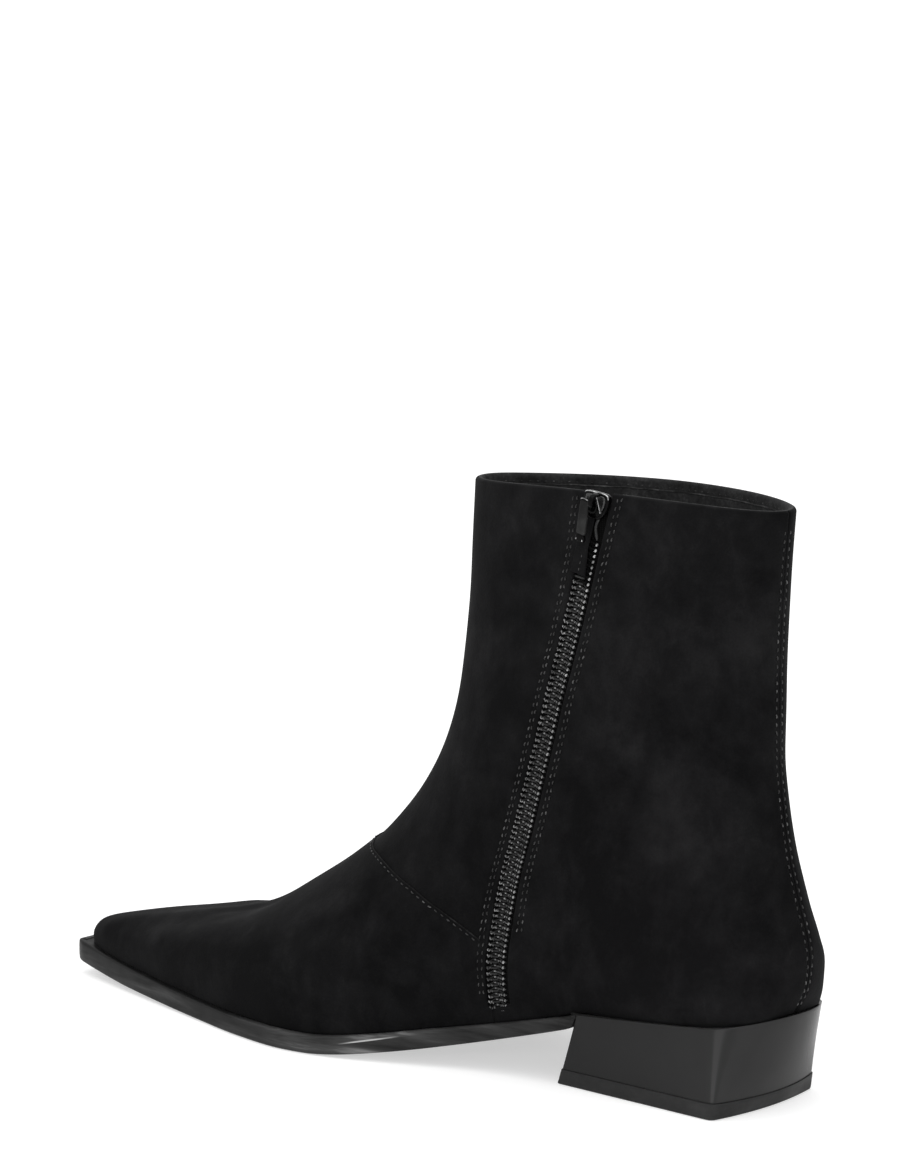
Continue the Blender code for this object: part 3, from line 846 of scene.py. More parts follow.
def make_heel():
    """Satin black lacquer over the heel block, faintly brushed, with a painted highlight down its medial
    back corner and a painted reflection paling the back towards its lateral side.
    """
    nodes = Nodes("heel_lacquer", Specular_IOR_Level=0.03)
    brushing = nodes.noise(40, 2.0, 0.5, 0.2, nodes.mapped(Scale=(1.0, 1.0, 4.0)))
    nodes.ramp(brushing, [(0.3, 0.19), (0.75, 0.25)], "Roughness")
    # Painted highlight down the medial back corner
    corner = nodes.times(nodes.window(nodes.facing, (-0.74, -0.62), (-0.48, -0.36)),
                         nodes.between(nodes.facing, 0.0, 0.2, 0.0, 0.42, "Y"))
    # Painted reflection: the back face grows paler towards its lateral side
    back = nodes.times(nodes.between(nodes.facing, 0.35, -0.05, 0.24, 0.54, "Y"),
                       nodes.between(nodes.facing, -0.6, -0.3, 0.0, 1.0, "Y"))
    back = nodes.times(back, nodes.between(nodes.facing, -0.85, -0.7, 1.0, 0.0, "X"))
    tone = nodes.total(nodes.times(nodes.noise(24), 0.5), corner, back)
    nodes.ramp(tone, [(0.15, 0.0178), (0.375, 0.0208), (0.6, 0.030), (0.9, 0.046)])
    nodes.bump(nodes.noise(900, 2.0), 0.05, 0.05)
    nodes.bump(nodes.noise(26, 2.0), 0.12, 0.5)
    return nodes.material


def make_sole():
    """Waxed edge of the sole, burnished along its length; painted shade darkens the waist, it is paler at
    the joint and darker to the toe, and a painted highlight and glint lie along a bevel near the joint.
    """
    nodes = Nodes("sole_edge", Specular_IOR_Level=0.06)
    streaks = nodes.noise(90, 4.0, 0.62, 0.3, nodes.mapped(Scale=(0.25, 0.25, 2.4)))
    tilted = nodes.mapped(Rotation=(0.0, -0.2165, 0.0))
    # Painted highlight: a paler band along the top of the wall near the joint, as if an upper bevel caught
    # the light, and a bright painted glint along its lower edge
    bevel_highlight = nodes.times(nodes.between(tilted, 0.0049, 0.0052, 0.0, 0.13),
                        nodes.window(nodes.coords, (-0.027, -0.012), (-0.002, 0.008)))
    glint = nodes.times(nodes.window(tilted, (0.0049, 0.0051), (0.0052, 0.0056), "Z"),
                        nodes.window(nodes.coords, (-0.016, -0.007), (-0.002, 0.004)))
    # Painted shade darkens the waist; the edge is also made paler at the joint and darker towards the toe
    waist, joint, toe = (nodes.between(nodes.coords, *stretch, "X") for stretch in (
        (-0.05, 0.02, -0.15, 0.0), (-0.005, 0.025, 0.10, -0.035), (0.03, 0.06, 0.0, -0.085)))
    tone = nodes.total(streaks, waist, joint, toe, bevel_highlight, nodes.times(glint, 0.5))
    nodes.ramp(tone, [(0.34, 0.010), (0.50, 0.026), (0.64, 0.050), (1.0, 0.4)])
    nodes.ramp(nodes.noise(140), [(0.3, 0.28), (0.75, 0.52)], "Roughness")
    nodes.bump(streaks, 0.25, 0.12)
    nodes.bump(nodes.noise(1200), 0.2, 0.06)
    return nodes.material


def make_plain(name, tone, bump=None, polish=None, **sockets):
    """Finish whose tone, bump and polish each follow a noise, given by its settings and what it drives."""
    nodes = Nodes(name, **sockets)
    nodes.ramp(nodes.noise(*tone[0]), tone[1])
    if polish:
        nodes.ramp(nodes.noise(*polish[0]), polish[1], "Roughness")
    if bump:
        nodes.bump(nodes.noise(*bump[0]), *bump[1:])
    return nodes.material


def make_enamel(name, tone, low, high, gloss):
    """Black enamel on cast metal, its polish a little uneven."""
    tones = [(0.35, tone * 0.8), (0.7, tone * 1.35)]
    polish = [(0.35, low), (0.7, high)]
    return make_plain(name, ((300, 2.0), tones), ((1200, 2.0), 0.12, 0.05), ((600,), polish),
                      Specular_IOR_Level=gloss)


SUEDE_FINISH = make_suede()
RAW_EDGE = make_raw_edge("raw_edge", 0.004, 0.007, 0.022)
FRAYED = make_raw_edge("frayed_edge", 0.014, 0.036, 0.09)
BINDING_FINISH = make_binding()
LINING = make_lining()
SOCK_TONES = [(0.35, (0.017, 0.0166, 0.0162)), (0.68, (0.030, 0.0294, 0.0288))]
SOCK = make_plain("sock", ((28, 4.0, 0.6), SOCK_TONES), ((900,), 0.3, 0.08), Roughness=0.6,
                  Specular_IOR_Level=0.35)
THREAD = make_thread()
COIL = make_plain("coil", ((300, 2.0), [(0.35, 0.004), (0.65, 0.014)]), ((1300, 2.0), 0.15, 0.04),
                  ((700,), [(0.3, 0.22), (0.75, 0.38)]), Specular_IOR_Level=0.22)
COIL_PAINTED_HIGHLIGHT = make_coil_painted_highlight()
COIL_THREAD = make_plain("coil_thread", ((420, 2.0), [(0.36, 0.024), (0.5, 0.085), (0.64, 0.23)]),
                         ((1500, 2.0), 0.3, 0.05), Roughness=0.35, Specular_IOR_Level=0.5)
TAPE = make_tape()
TAPE_EDGE = make_tape_edge()
ENAMEL = make_enamel("enamel", 0.0015, 0.07, 0.16, 0.06)
WING_ENAMEL = make_enamel("wing_enamel", 0.012, 0.14, 0.30, 0.5)
WORN_METAL = make_plain("worn_metal", ((500,), [(0.36, 0.10), (0.52, 0.34), (0.66, 0.62)]),
                        ((1500, 2.0), 0.15, 0.03), ((800,), [(0.3, 0.18), (0.75, 0.34)]), Metallic=1.0)
PULL_FINISH = make_pull()
LACQUER = make_heel()
SOLE_EDGE = make_sole()
LIFT_RUBBER = make_plain("lift_rubber", ((500, 4.0, 0.65), [(0.3, 0.005), (0.75, 0.011)]),
                         ((500, 4.0, 0.65), 0.3, 0.08), ((90,), [(0.3, 0.42), (0.75, 0.62)]),
                         Specular_IOR_Level=0.2)


# Panels of the upper; rows and columns lie closer together where the suede bends

FEATHER = [(1.5, -0.29), (0.75, -0.29), (0.3, -0.24), (0.1, -0.13)]
FEATHER_BACK = 0.6
FEATHER_DROP = -0.2
ROLL_ANGLES = np.radians(np.arange(18, 181, 18))
BAND_DROPS = (0.5, 1.0, 1.4, 1.75, 2.1, 2.6, 3.1, 3.4, COLLAR_BAND)
BINDING_ANGLES = np.radians(np.arange(84, 181, 16))
BINDING_DROPS = (0.5, 1.0, 1.5, 1.9, 2.2, 2.5, 3.0, 4.0, 5.0, 6.0, 6.6, 6.9, BINDING)
EDGE_STEPS = np.array([0.0, 0.05, 0.14, 0.28, 0.46, 0.7])
BESIDE_ZIP = np.array([4.95, 5.2, 5.5, 5.8, 6.1, 6.4, 6.7, 7.0, 7.3, 7.6, 7.9, 8.2, 8.6, 9.2, 10.0, 11.0,
                       12.5])
BESIDE_SEAM = np.array([4.2, 3.2, 2.6, 2.2, 1.9, 1.65, 1.45, 1.3, 1.15, 0.95, *EDGE_STEPS[::-1]])
UNDER_ZIP = np.array([VAMP_FOOT_MM + 0.6, 1.6, 0.8, 0.0, -0.9, -1.8, -2.6, -3.2, -3.7])
FOOT_ROWS = np.array([0, 0.008, 0.016, 0.023, 0.029, 0.034, 0.038, 0.0405, 0.0415])
SLOT_ROWS = SLOT_END_LEVEL + np.array([0, 0.003, 0.008, 0.015, 0.024])
QUARTER_BACK_ROWS = np.concatenate([FOOT_ROWS, SLOT_ROWS, np.linspace(0.075, 1.0, 100)])[:, None]
QUARTER_FRONT_ROWS = np.concatenate([np.linspace(0, 0.12, 10), np.linspace(0.13, 1, 84)])[:, None]
BELOW_EDGE = np.array([0.13, 0.105, 0.085, 0.068, 0.054, 0.042, 0.031, 0.021, 0.013, 0.007, 0.003, 0.001,
                       0.0])
VAMP_ROWS = np.concatenate([np.linspace(0, 0.84, 46), 1 - BELOW_EDGE])[:, None]
FITTED_FROM = 0.9


def column_plan(zip_columns, even, end_columns):
    """Columns by distance from the zip, then an even count, then by distance from the panel's other end."""
    n, k = len(zip_columns), len(end_columns)
    share = np.concatenate([np.zeros(n), np.linspace(0, 1, even + 2)[1:-1], np.ones(k)])
    near_zip = np.concatenate([zip_columns, np.full(even, zip_columns[-1]), np.zeros(k)])
    near_end = np.concatenate([np.zeros(n), np.full(even, end_columns[0]), end_columns])
    return share, near_zip, near_end


def lay_columns(layout, level, end):
    """Turns of a panel's columns at levels given for each row and column."""
    share, near_zip, near_end = layout
    return mix(zip_side(level, near_zip), end + near_end * back_per_mm(level), share)


def feather_rows(turn, level, lift):
    """Rows that turn the panel's foot in over the sole, below its first row."""
    point, _, normal = skin_frame(turn, level)
    up = np.array([0.0, 0.0, 1.0])
    start = point + normal * lift[:, None]
    outer = [start - normal * inward + up * down for inward, down in FEATHER]
    inner = [point - normal * (SUEDE + FEATHER_BACK) + up * max(down, FEATHER_DROP) for _, down in FEATHER]
    return np.array(outer), np.array(inner)


def fold_rows(place, angles, drops, swell, thin):
    """Outer and inner rows of a fold round the collar's roll and down inside it."""
    point, up, normal = place
    centre = point - (normal + up) * COLLAR_ROLL
    arcs = [(math.cos(a), math.sin(a), 0.0) for a in angles]
    outer, inner = [], []
    for k, (across, above, drop) in enumerate(arcs + [(-1.0, 0.0, drop) for drop in drops]):
        way = normal * across + up * above
        outer.append(centre + way * swell(k, drop) - up * drop)
        inner.append(centre + way * thin - up * drop)
    return np.array(outer), np.array(inner)


def band_swell(_, drop):
    """Thickness of the collar's band, pulled in along its seam."""
    seam = trough(drop - BAND_SEAM, BAND_BULGE, 0.5) if drop > 0 else 0.0
    return COLLAR_ROLL + BAND_BULGE * math.sin(math.pi * drop / COLLAR_BAND) + seam


def collar_rows(turn, lift):
    """Rows that roll the panel's top over the collar and down inside it."""
    point, up, normal = skin_frame(turn, np.ones_like(turn))
    place = point + normal * lift[:, None], up, normal
    return fold_rows(place, ROLL_ANGLES, BAND_DROPS, band_swell, COLLAR_ROLL - SUEDE)


def top_level(turn, step=0.02):
    """Level where the collar's roll begins."""
    below = skin(turn, 1.0) - skin(turn, 1 - step)
    return 1 - COLLAR_ROLL * step / np.linalg.norm(below, axis=-1)


def panel(turn, level, lift, collar=True, hole=None):
    """Sheet of suede over rows of turns and levels, raised by lift, with its foot and top turned in."""
    point, _, normal = skin_frame(turn, level)
    thick = SUEDE - np.minimum(lift, 0)
    sheets = [feather_rows(turn[0], level[0], lift[0])]
    sheets.append((point + normal * lift[..., None], point - normal * thick[..., None]))
    if collar:
        sheets.append(collar_rows(turn[-1], lift[-1]))
    outer, inner = (np.concatenate(sheet) for sheet in zip(*sheets))
    rows, cols = outer.shape[:2]
    faces = grid_faces(rows, cols)
    if hole is not None:
        row, col = np.divmod(np.arange(len(faces)), cols - 1)
        faces = faces[~hole(row - len(FEATHER), col)]
    return thicken(outer, inner, faces)


def zip_foot_mm(low=0.02, high=0.06):
    """Millimetres up the skin for one level at the zip's foot."""
    return np.linalg.norm(skin(zip_side(high, 0), high) - skin(zip_side(low, 0), low)) / (high - low)


def quarter_back(even=26):
    """Back quarter on the medial side, from the back seam to the zip, and round the zip's foot."""
    near_zip = np.concatenate([UNDER_ZIP, -SLOT_HALF - EDGE_STEPS, -BESIDE_ZIP])
    layout = tuple(row[::-1] for row in column_plan(near_zip, even, BESIDE_SEAM))
    cols = len(layout[0])
    plain = np.repeat(QUARTER_BACK_ROWS, cols, 1)
    level = plain
    for _ in range(3):
        turn = lay_columns(layout, level, 0.0)
        share = (plain - FITTED_FROM) / (1 - FITTED_FROM)
        level = np.where(plain > FITTED_FROM, mix(FITTED_FROM, top_level(turn), share), plain)
    ahead = ahead_of_zip(turn, level)
    beyond = np.maximum(-SLOT_HALF - ahead, 0)
    below = np.maximum(SLOT_END_LEVEL - level, 0) * zip_foot_mm()
    lift = relief(turn, level, skin(turn, level)) + roll(np.hypot(beyond, below), EDGE_ROLL)
    lift += back_troughs(turn, level)
    lift += zip_troughs(turn, level, ("back_inner", "back_outer"), BACK_ROWS_FROM)
    under_vamp = np.clip((ahead - UNDER_VAMP_FROM) / UNDER_VAMP_REACH, 0, 1) * (level < SLOT_END_LEVEL)
    lift -= UNDER_VAMP_DROP * under_vamp
    first_col = cols - len(UNDER_ZIP) - 1
    return panel(turn, level, lift, hole=lambda row, col: (row >= len(FOOT_ROWS)) & (col >= first_col))


def seam_step(point):
    """How far the vamp's overlap lifts or presses the suede near its edge."""
    return SEAM_STEP * np.exp(-(nearest(point, VAMP_LINE[::4]) / SEAM_STEP_FADE) ** 2)


def quarter_front(even=104):
    """Quarter from the zip round the front and the lateral side to the back seam, above the vamp."""
    layout = column_plan(np.concatenate([SLOT_HALF + EDGE_STEPS, BESIDE_ZIP]), even, -BESIDE_SEAM)
    level = np.repeat(QUARTER_FRONT_ROWS, len(layout[0]), 1)
    for _ in range(6):
        turn = lay_columns(layout, level, 1.0)
        low = np.where(turn > VAMP_END, 0, np.maximum(vamp_level(turn) - VAMP_TUCK, 0))
        level = mix(low, top_level(turn), QUARTER_FRONT_ROWS)
    point = skin(turn, level)
    lift = relief(turn, level, point) - seam_step(point) + back_troughs(turn, level)
    lift += roll(np.abs(ahead_of_zip(turn, level) - SLOT_HALF), EDGE_ROLL)
    lift += zip_troughs(turn, level, ("front_inner", "front_outer"), 0.0)
    return panel(turn, level, lift)


def vamp_back_mm(level):
    """How far ahead of the zip the vamp's back edge runs."""
    return np.interp(level, (SLOT_END_LEVEL - 0.004, SLOT_END_LEVEL + 0.002), (VAMP_FOOT_MM, SLOT_HALF))


def vamp(even=150, lowest=0.004, first_guess=0.2):
    """Vamp over the toe, lapping the quarters along its edge."""
    steps = np.concatenate([EDGE_STEPS, BESIDE_ZIP - SLOT_HALF])
    column_share, near_zip, near_end = column_plan(steps, even, np.zeros(1))
    level = np.repeat(VAMP_ROWS * first_guess, len(column_share), 1)
    for _ in range(8):
        layout = column_share, near_zip + vamp_back_mm(level), near_end
        turn = lay_columns(layout, level, VAMP_END - lowest)
        level = VAMP_ROWS * np.maximum(vamp_level(turn), lowest)
    point = skin(turn, level)
    inside = np.linalg.norm(skin(turn, vamp_level(turn)) - point, axis=-1)
    back = ahead_of_zip(turn, level) - vamp_back_mm(level)
    lift = relief(turn, level, point) + seam_step(point)
    lift += roll(inside, VAMP_EDGE_ROLL) + trough(inside - VAMP_ROW_MM) + roll(np.abs(back), EDGE_ROLL)
    lift += zip_troughs(turn, level, ("front_inner", "front_outer"), FRONT_ROWS_FROM)
    return panel(turn, level, lift, collar=False)


def below_vamp_edge(turn, drop, step=0.01):
    """Level at a distance in millimetres below the vamp's edge."""
    edge = vamp_level(turn)
    rise = np.linalg.norm(skin(turn, edge) - skin(turn, edge - step), axis=-1)
    return edge - step * drop / rise


def vamp_raw_edge():
    """Bared edge of the vamp, as a thin bead along it."""
    turn = np.linspace(*VAMP_BARE_TURNS, 420)
    level = np.maximum(below_vamp_edge(turn, BARE_DROP), 0.002)
    point, _, normal = skin_frame(turn, level)
    height = relief(turn, level, point) + BARE_RISE + 0.05 * ripple(len(turn), 1.7)
    return tube(point + normal * height[:, None], BARE_RADIUS + 0.03 * ripple(len(turn), 2.9), 6)


# Stitches and the collar's binding

CHANCE = np.random.default_rng(11)


def stitch_template():
    """One stitch lying along its first axis, arched so that its ends go down into the suede."""
    at = np.linspace(-1, 1, 9)
    path = xyz(at * STITCH_LENGTH / 2, 0.0, -STITCH_DIP * np.abs(at) ** 3)
    return tube(path, STITCH_RADIUS * np.sqrt(1 - 0.75 * at ** 4), 6)


def lay_stitches(place, along, out):
    """Stitches at places, each along one direction and out of the suede by another."""
    return copies(stitch_template(), place, np.stack([along, np.cross(out, along), out], 1))


def walk(turn, level):
    """Turns and levels at even steps along a path on the skin."""
    q = np.linspace(0, 1, 1200)
    at = np.linspace(0, 1, len(turn))
    turn, level = np.interp(q, at, turn), np.interp(q, at, level)
    length = path_length(skin(turn, level))
    stops = np.arange(STITCH_PITCH / 2, length[-1], STITCH_PITCH)
    return np.interp(stops, length, turn), np.interp(stops, length, level)


def sew(turn, level, lift=IN_TROUGH):
    """Uneven stitches along a path on the skin."""
    turn, level = walk(turn, level)
    point, _, normal = skin_frame(turn, level)
    height = relief(turn, level, point) + lift + STITCH_UNEVEN * CHANCE.uniform(-1.2, 0.8, len(turn))
    along = unit(np.gradient(point, axis=0))
    along = unit(along - normal * (along * normal).sum(-1, keepdims=True))
    wander = CHANCE.uniform(-STITCH_WANDER, STITCH_WANDER, (len(turn), 1))
    along = unit(along + np.cross(normal, along) * wander)
    return lay_stitches(point + normal * height[:, None], along, normal)


def zip_stitches():
    """Twin rows down each side of the zip."""
    rows = []
    for name, start in (("front_outer", FRONT_ROWS_FROM), ("front_inner", FRONT_ROWS_FROM),
                        ("back_inner", BACK_ROWS_FROM), ("back_outer", BACK_ROWS_FROM)):
        level = np.linspace(start, ZIP_ROWS_TO, 300)
        rows.append(sew(zip_side(level, line(ZIP_ROWS, name, level)), level))
    return rows


def back_stitches():
    """Twin rows down the back seam."""
    level = np.linspace(0.012, BACK_ROW_TOP, 300)
    return [sew(side * BACK_ROW * back_per_mm(level), level) for side in (1, -1)]


def vamp_stitches():
    """Row along the vamp's edge, from the zip over the ridge to the lateral sole."""
    turn = np.linspace(*VAMP_ROW_TURNS, 500)
    level = np.maximum(below_vamp_edge(turn, VAMP_ROW_MM), 0.004)
    return [sew(turn, level, SEAM_STEP + IN_TROUGH)]


def round_collar(from_zip):
    """Point, up and normal round the collar from one side of the zip to the other."""
    turn = np.linspace(zip_side(1.0, from_zip), 1.0 + zip_side(1.0, -from_zip), 520)
    level = np.ones_like(turn)
    point, up, normal = skin_frame(turn, level)
    return point + normal * relief(turn, level, point)[:, None], up, normal


def ripple(count, *rates):
    """Uneven wave along the points of a path."""
    return np.prod([np.sin(np.arange(count) * rate) for rate in rates], axis=0)


def binding():
    """Band folded over the collar and down inside it."""
    place = round_collar(BINDING_FROM_ZIP)
    fuzz = BINDING_FUZZ * ripple(len(place[0]), 1.3, 0.37)

    def swell(k, drop):
        rise = BINDING_START + BINDING_THICK * min(k / 3.0, 1.0)
        rise += trough(drop - BINDING_SEAM, BINDING_SEAM_DEPTH, 0.4)
        return (COLLAR_ROLL + rise + fuzz * (drop / BINDING))[:, None]

    outer, inner = fold_rows(place, BINDING_ANGLES, BINDING_DROPS, swell, COLLAR_ROLL - 0.1)
    return thicken(outer, inner, grid_faces(*outer.shape[:2]))


def binding_edge():
    """Raw edge of the suede where it is turned in, as a fibrous bead along the band."""
    point, up, normal = round_collar(BINDING_FROM_ZIP)
    drop = COLLAR_ROLL + BINDING_SEAM + BINDING_SEAM_DEPTH * ripple(len(point), 0.31, 0.113)
    path = point - normal * (2 * COLLAR_ROLL + 0.18) - up * drop[:, None]
    return tube(path, 0.2 + BINDING_FUZZ * ripple(len(point), 1.9, 0.71), 6)


def collar_stitches():
    """Row sunk in the band's nap."""
    point, up, normal = round_collar(COLLAR_ROW_FROM_ZIP)
    path = point - normal * (2 * COLLAR_ROLL + 0.1) - up * (COLLAR_ROLL + COLLAR_ROW_DROP)
    length = path_length(path)
    stops = np.arange(1.0, length[-1], STITCH_PITCH)
    place, out, rise = (along_path(stops, length, v) for v in (path, -normal, up))
    out = unit(out)
    return lay_stitches(place, unit(np.cross(rise, out)), out)


# The zip

ZIP_LEVELS = np.linspace(0.03, 0.998, 900)
ZIP_POINT, _, ZIP_OUT = skin_frame(np.interp(ZIP_LEVELS, LEVELS, ZIP_TURN), ZIP_LEVELS)
ZIP_ACROSS = unit(np.cross(unit(np.gradient(ZIP_POINT, axis=0)), ZIP_OUT))
ZIP_LENGTH = path_length(ZIP_POINT)
COIL_CHANCE = np.random.default_rng(5)
BEAD_AT = np.linspace(-1, 1, 7)
BEAD_ROUND = np.sqrt(1.03 - BEAD_AT ** 2)


def on_zip(local):
    """Points across (towards the heel), along (up from its foot) and out of the zip, in the last's frame."""
    x, y, z = np.moveaxis(np.asarray(local, float), -1, 0)
    spot, across, out = (along_path(y, ZIP_LENGTH, v) for v in (ZIP_POINT, ZIP_ACROSS, ZIP_OUT))
    return spot + across * x[..., None] + out * z[..., None]


def zip_mm(level):
    """Distance up the zip at a level."""
    return float(np.interp(level, ZIP_LEVELS, ZIP_LENGTH))


def coil_turns(level):
    """Count of the coil's turns up to a level of the shaft."""
    return int(zip_mm(level) / COIL_PITCH)


def coil_heights(side, count):
    """Heights of a coil's turns; the two coils lie half a turn apart."""
    return np.arange(count) * COIL_PITCH + (0.0 if side > 0 else COIL_PITCH / 2)


def coil_row(side, first, last):
    """One continuous filament from one turn to another."""
    x, y, z = COIL_TURN.values()
    y = coil_heights(side, last)[first:, None] + y * np.where(y > 0, COIL_PITCH, 1.0)
    return tube(on_zip(xyz(x * side + COIL_SHIFT, y, z).reshape(-1, 3)), COIL_WIRE)


def bead(x, y, lean, rise, top, sag, radius):
    """Short bar on the coil with rounded ends, that leans across and along and sags at both ends."""
    path = xyz(x + lean * BEAD_AT + COIL_SHIFT, y + rise * BEAD_AT, top - sag * BEAD_AT ** 2)
    return tube(on_zip(path), radius * BEAD_ROUND)


def coil_bends(side, level, radius):
    """Outer bends of one coil, each leaning up and out."""
    heights = coil_heights(side, coil_turns(level)) - BEND_BELOW
    return [bead(side * BEND_OUT, y, side * BEND_LEAN, radius=radius, **BEND) for y in heights]


def coil_noses():
    """Noses of the turns along the line where the coils meet."""
    return [bead(0.02, y, **NOSE) for y in coil_heights(1, COVERED)]


def coil_threads():
    """Sewing thread that holds each coil down, looser on the front side."""
    parts = []
    for side, loose, lines in LOOP_LINES:
        for across, slant in lines:
            for y in coil_heights(side, COVERED) - LOOP_BELOW:
                dx, dy = COIL_CHANCE.uniform(-loose, loose, 2)
                parts.append(bead(side * (across + dx), y + dy, side * slant, **LOOP))
    return parts


def tape_edge(count=30, depth=0.35, radius=0.42):
    """Edge of the tape that runs up from the coil to the slider."""
    y = np.linspace(*TAPE_BENDS["y"][[0, -1]], count)
    path = xyz(curve(TAPE_BENDS, "x", y), y + zip_mm(SLIDER_LEVEL), -depth)
    return tube(on_zip(path), radius * (1.06 - np.linspace(-1, 1, count) ** 8), 8)


def tapes():
    """Woven tapes under the coils, tucked behind the suede on both sides."""
    parts = []
    y = np.linspace(0, zip_mm(TAPE_TOP), 160)[:, None]
    for side in (1, -1):
        outer, inner = (on_zip(xyz(side * TAPE_ACROSS, y, depth)) for depth in TAPE_FACES)
        parts.append(thicken(outer, inner, grid_faces(len(y), len(TAPE_ACROSS))[:, ::-side]))
    return parts


def guard():
    """Small suede flap over the front coil below the slider."""
    low, step, high = (zip_mm(level) for level in (GUARD_END, GUARD_STEP, GUARD_TOP))
    y = np.concatenate([low + np.array([0, 0.04, 0.12, 0.26, 0.45]), np.linspace(low + 0.7, step - 0.5, 16),
                        step + np.linspace(-0.3, 0.3, 5), np.linspace(step + 0.6, high, 14)])[:, None]
    limit = np.interp(y, (low, step, high), GUARD_EDGE)
    near = np.array([0.0, 0.05, 0.15, 0.3, 0.55, 1.0])
    from_front = np.concatenate([near, np.linspace(1.6, 2.6, 4)])
    x = np.concatenate([GUARD_FRONT + from_front + 0 * y, limit - near[::-1]], 1)
    edge = np.minimum.reduce([x - GUARD_FRONT, limit - x, y - low + 0 * x])
    top = GUARD_THICK + roll(edge, 0.4) - 0.14 * np.clip((y - step) / 0.3, -0.5, 0.5)
    top = top + 0.1 * np.exp(-((y - step) / 0.22) ** 2) + trough(x - GUARD_ROW, 0.12, 0.5)
    return thicken(on_zip(xyz(x, y, top)), on_zip(xyz(x, y, 0.0)), grid_faces(*x.shape)[:, ::-1])


def guard_stitches():
    """Few stitches that hold the flap."""
    y = np.arange(zip_mm(GUARD_END) + 1.6, zip_mm(GUARD_STEP) - 0.8, 2.1)
    here = xyz(GUARD_ROW, y, GUARD_THICK - 0.08)
    place = on_zip(here)
    along, out = (unit(on_zip(here + step) - place) for step in ((0.0, 0.5, 0.0), (0.0, 0.0, 1.0)))
    return lay_stitches(place, along, out)


# The slider and its pull

def slider_frame(step=1e-3):
    """Origin and axes of the slider, as in the CAD source."""
    here = np.array([SLIDER_LEVEL - step, SLIDER_LEVEL, SLIDER_LEVEL + step])
    point, _, normal = skin_frame(zip_turn(here), here)
    out = normal[1]
    up = point[2] - point[0]
    up = unit(up - out * (up @ out))
    return point[1] + out * GAP, np.stack([np.cross(up, out), up, out])


SLIDER_ORIGIN, SLIDER_AXES = slider_frame()


def on_slider(part, shift=(0.0, 0.0, 0.0)):
    """A part made in the slider's frame, in the last's frame."""
    points, faces = part
    return SLIDER_ORIGIN + (np.asarray(points) + shift) @ SLIDER_AXES, faces


def cut_corners(outline, times=3):
    """Rounds a closed outline by cutting its corners again and again."""
    outline = np.asarray(outline, float)
    for _ in range(times):
        ahead = np.roll(outline, -1, axis=0)
        outline = np.stack([mix(outline, ahead, 0.2), mix(outline, ahead, 0.8)], 1).reshape(-1, 2)
    return outline


def inset(outline, distance):
    """Closed outline, counter-clockwise, moved inwards."""
    way = unit(np.roll(outline, -1, axis=0) - np.roll(outline, 1, axis=0))
    return outline + distance * np.stack([-way[:, 1], way[:, 0]], -1)


def plate(outline, rings):
    """Solid with a rounded edge: rings of inset and height, from its underside to its top."""
    return turned_loft([np.column_stack([inset(outline, d), np.full(len(outline), z)]) for d, z in rings])


def skewed(points):
    """Points in the slider's plane, turned a little, as the slider sits in the photograph."""
    c, s = math.cos(SLIDER_SKEW), math.sin(SLIDER_SKEW)
    return np.asarray(points) @ np.array([[c, s], [-s, c]])


def slider_outline():
    """Rounded outline of the slider's shield."""
    right = np.stack([SHIELD["across"] * SLIDER_WIDTH / 2, SHIELD["along"] * SLIDER_LENGTH], -1)
    return skewed(cut_corners(np.concatenate([right, right[::-1] * (-1, 1)])))


def bridge():
    """Arched bar of rounded section, from the slider's nose to its head."""
    q = np.linspace(0, math.pi, 25)
    along = BRIDGE_UP - BRIDGE_HALF * signed_power(np.cos(q), 0.7)
    path = xyz(BRIDGE_ASIDE, along, BRIDGE_FOOT + BRIDGE_ARCH * np.sin(q) ** 0.6)
    side = np.array([1.0, 0.0, 0.0])
    corners = cut_corners([(-1, -1), (1, -1), (1, 1), (-1, 1)], 2) / 2
    out = np.cross(unit(np.gradient(path, axis=0)), side)[:, None]
    return loft(path[:, None] + corners[:, :1] * side * BRIDGE_WIDTH + corners[:, 1:] * out * BRIDGE_THICK)


def slider():
    """Shield-shaped body with a rounded rim, and an arched bridge."""
    return [on_slider(plate(slider_outline(), SLIDER_RINGS)), on_slider(bridge())]


def slider_wings():
    """Raised facet on each half of the slider."""
    right = cut_corners(WING, 2)
    return [on_slider(plate(skewed(side), WING_RINGS)) for side in (right, (right * (-1, 1))[::-1])]


def slider_edges():
    """Worn edges: the slider's head and the slanting edge of its heel-side facet."""
    rim = inset(slider_outline(), 0.12)
    head = rim[rim[:, 1] > 0.38 * SLIDER_LENGTH]
    head = head[np.argsort(head[:, 0])]
    slant = skewed(np.linspace(*WING_LINE, 13)[1:-1] + (0.12, 0.0))
    return [on_slider(tube(xyz(*path.T, height), radius))
            for path, height, radius in ((head, 1.12, 0.2), (slant, 1.68, 0.18))]


def rectangle(half, low, high, corner):
    """Closed outline with cut corners."""
    inner = half - corner
    right = np.array([(inner, low), (half, low + corner), (half, high - corner), (inner, high)])
    return np.concatenate([right, right[::-1] * (-1, 1)])


def on_pull(part):
    """A part made about the pull's pivot, leaning to the front as it hangs in the photograph."""
    points, faces = part
    points = points + xyz(line(PULL_LEAN, "across", -points[:, 1]), 0.0, 0.0)
    return on_slider((points, faces), PULL_PIVOT)


def pull_ring():
    """Link that hangs on the bridge."""
    q = np.linspace(0, 2 * math.pi, 49)
    across = RING_ASIDE + RING_HALF_WIDTH * signed_power(np.cos(q), RING_SQUARE)
    along = RING_HALF_LENGTH * (signed_power(np.sin(q), RING_SQUARE) - 1)
    return on_slider(tube(xyz(across, along, 0.0), RING_WIRE, 8), PULL_PIVOT)


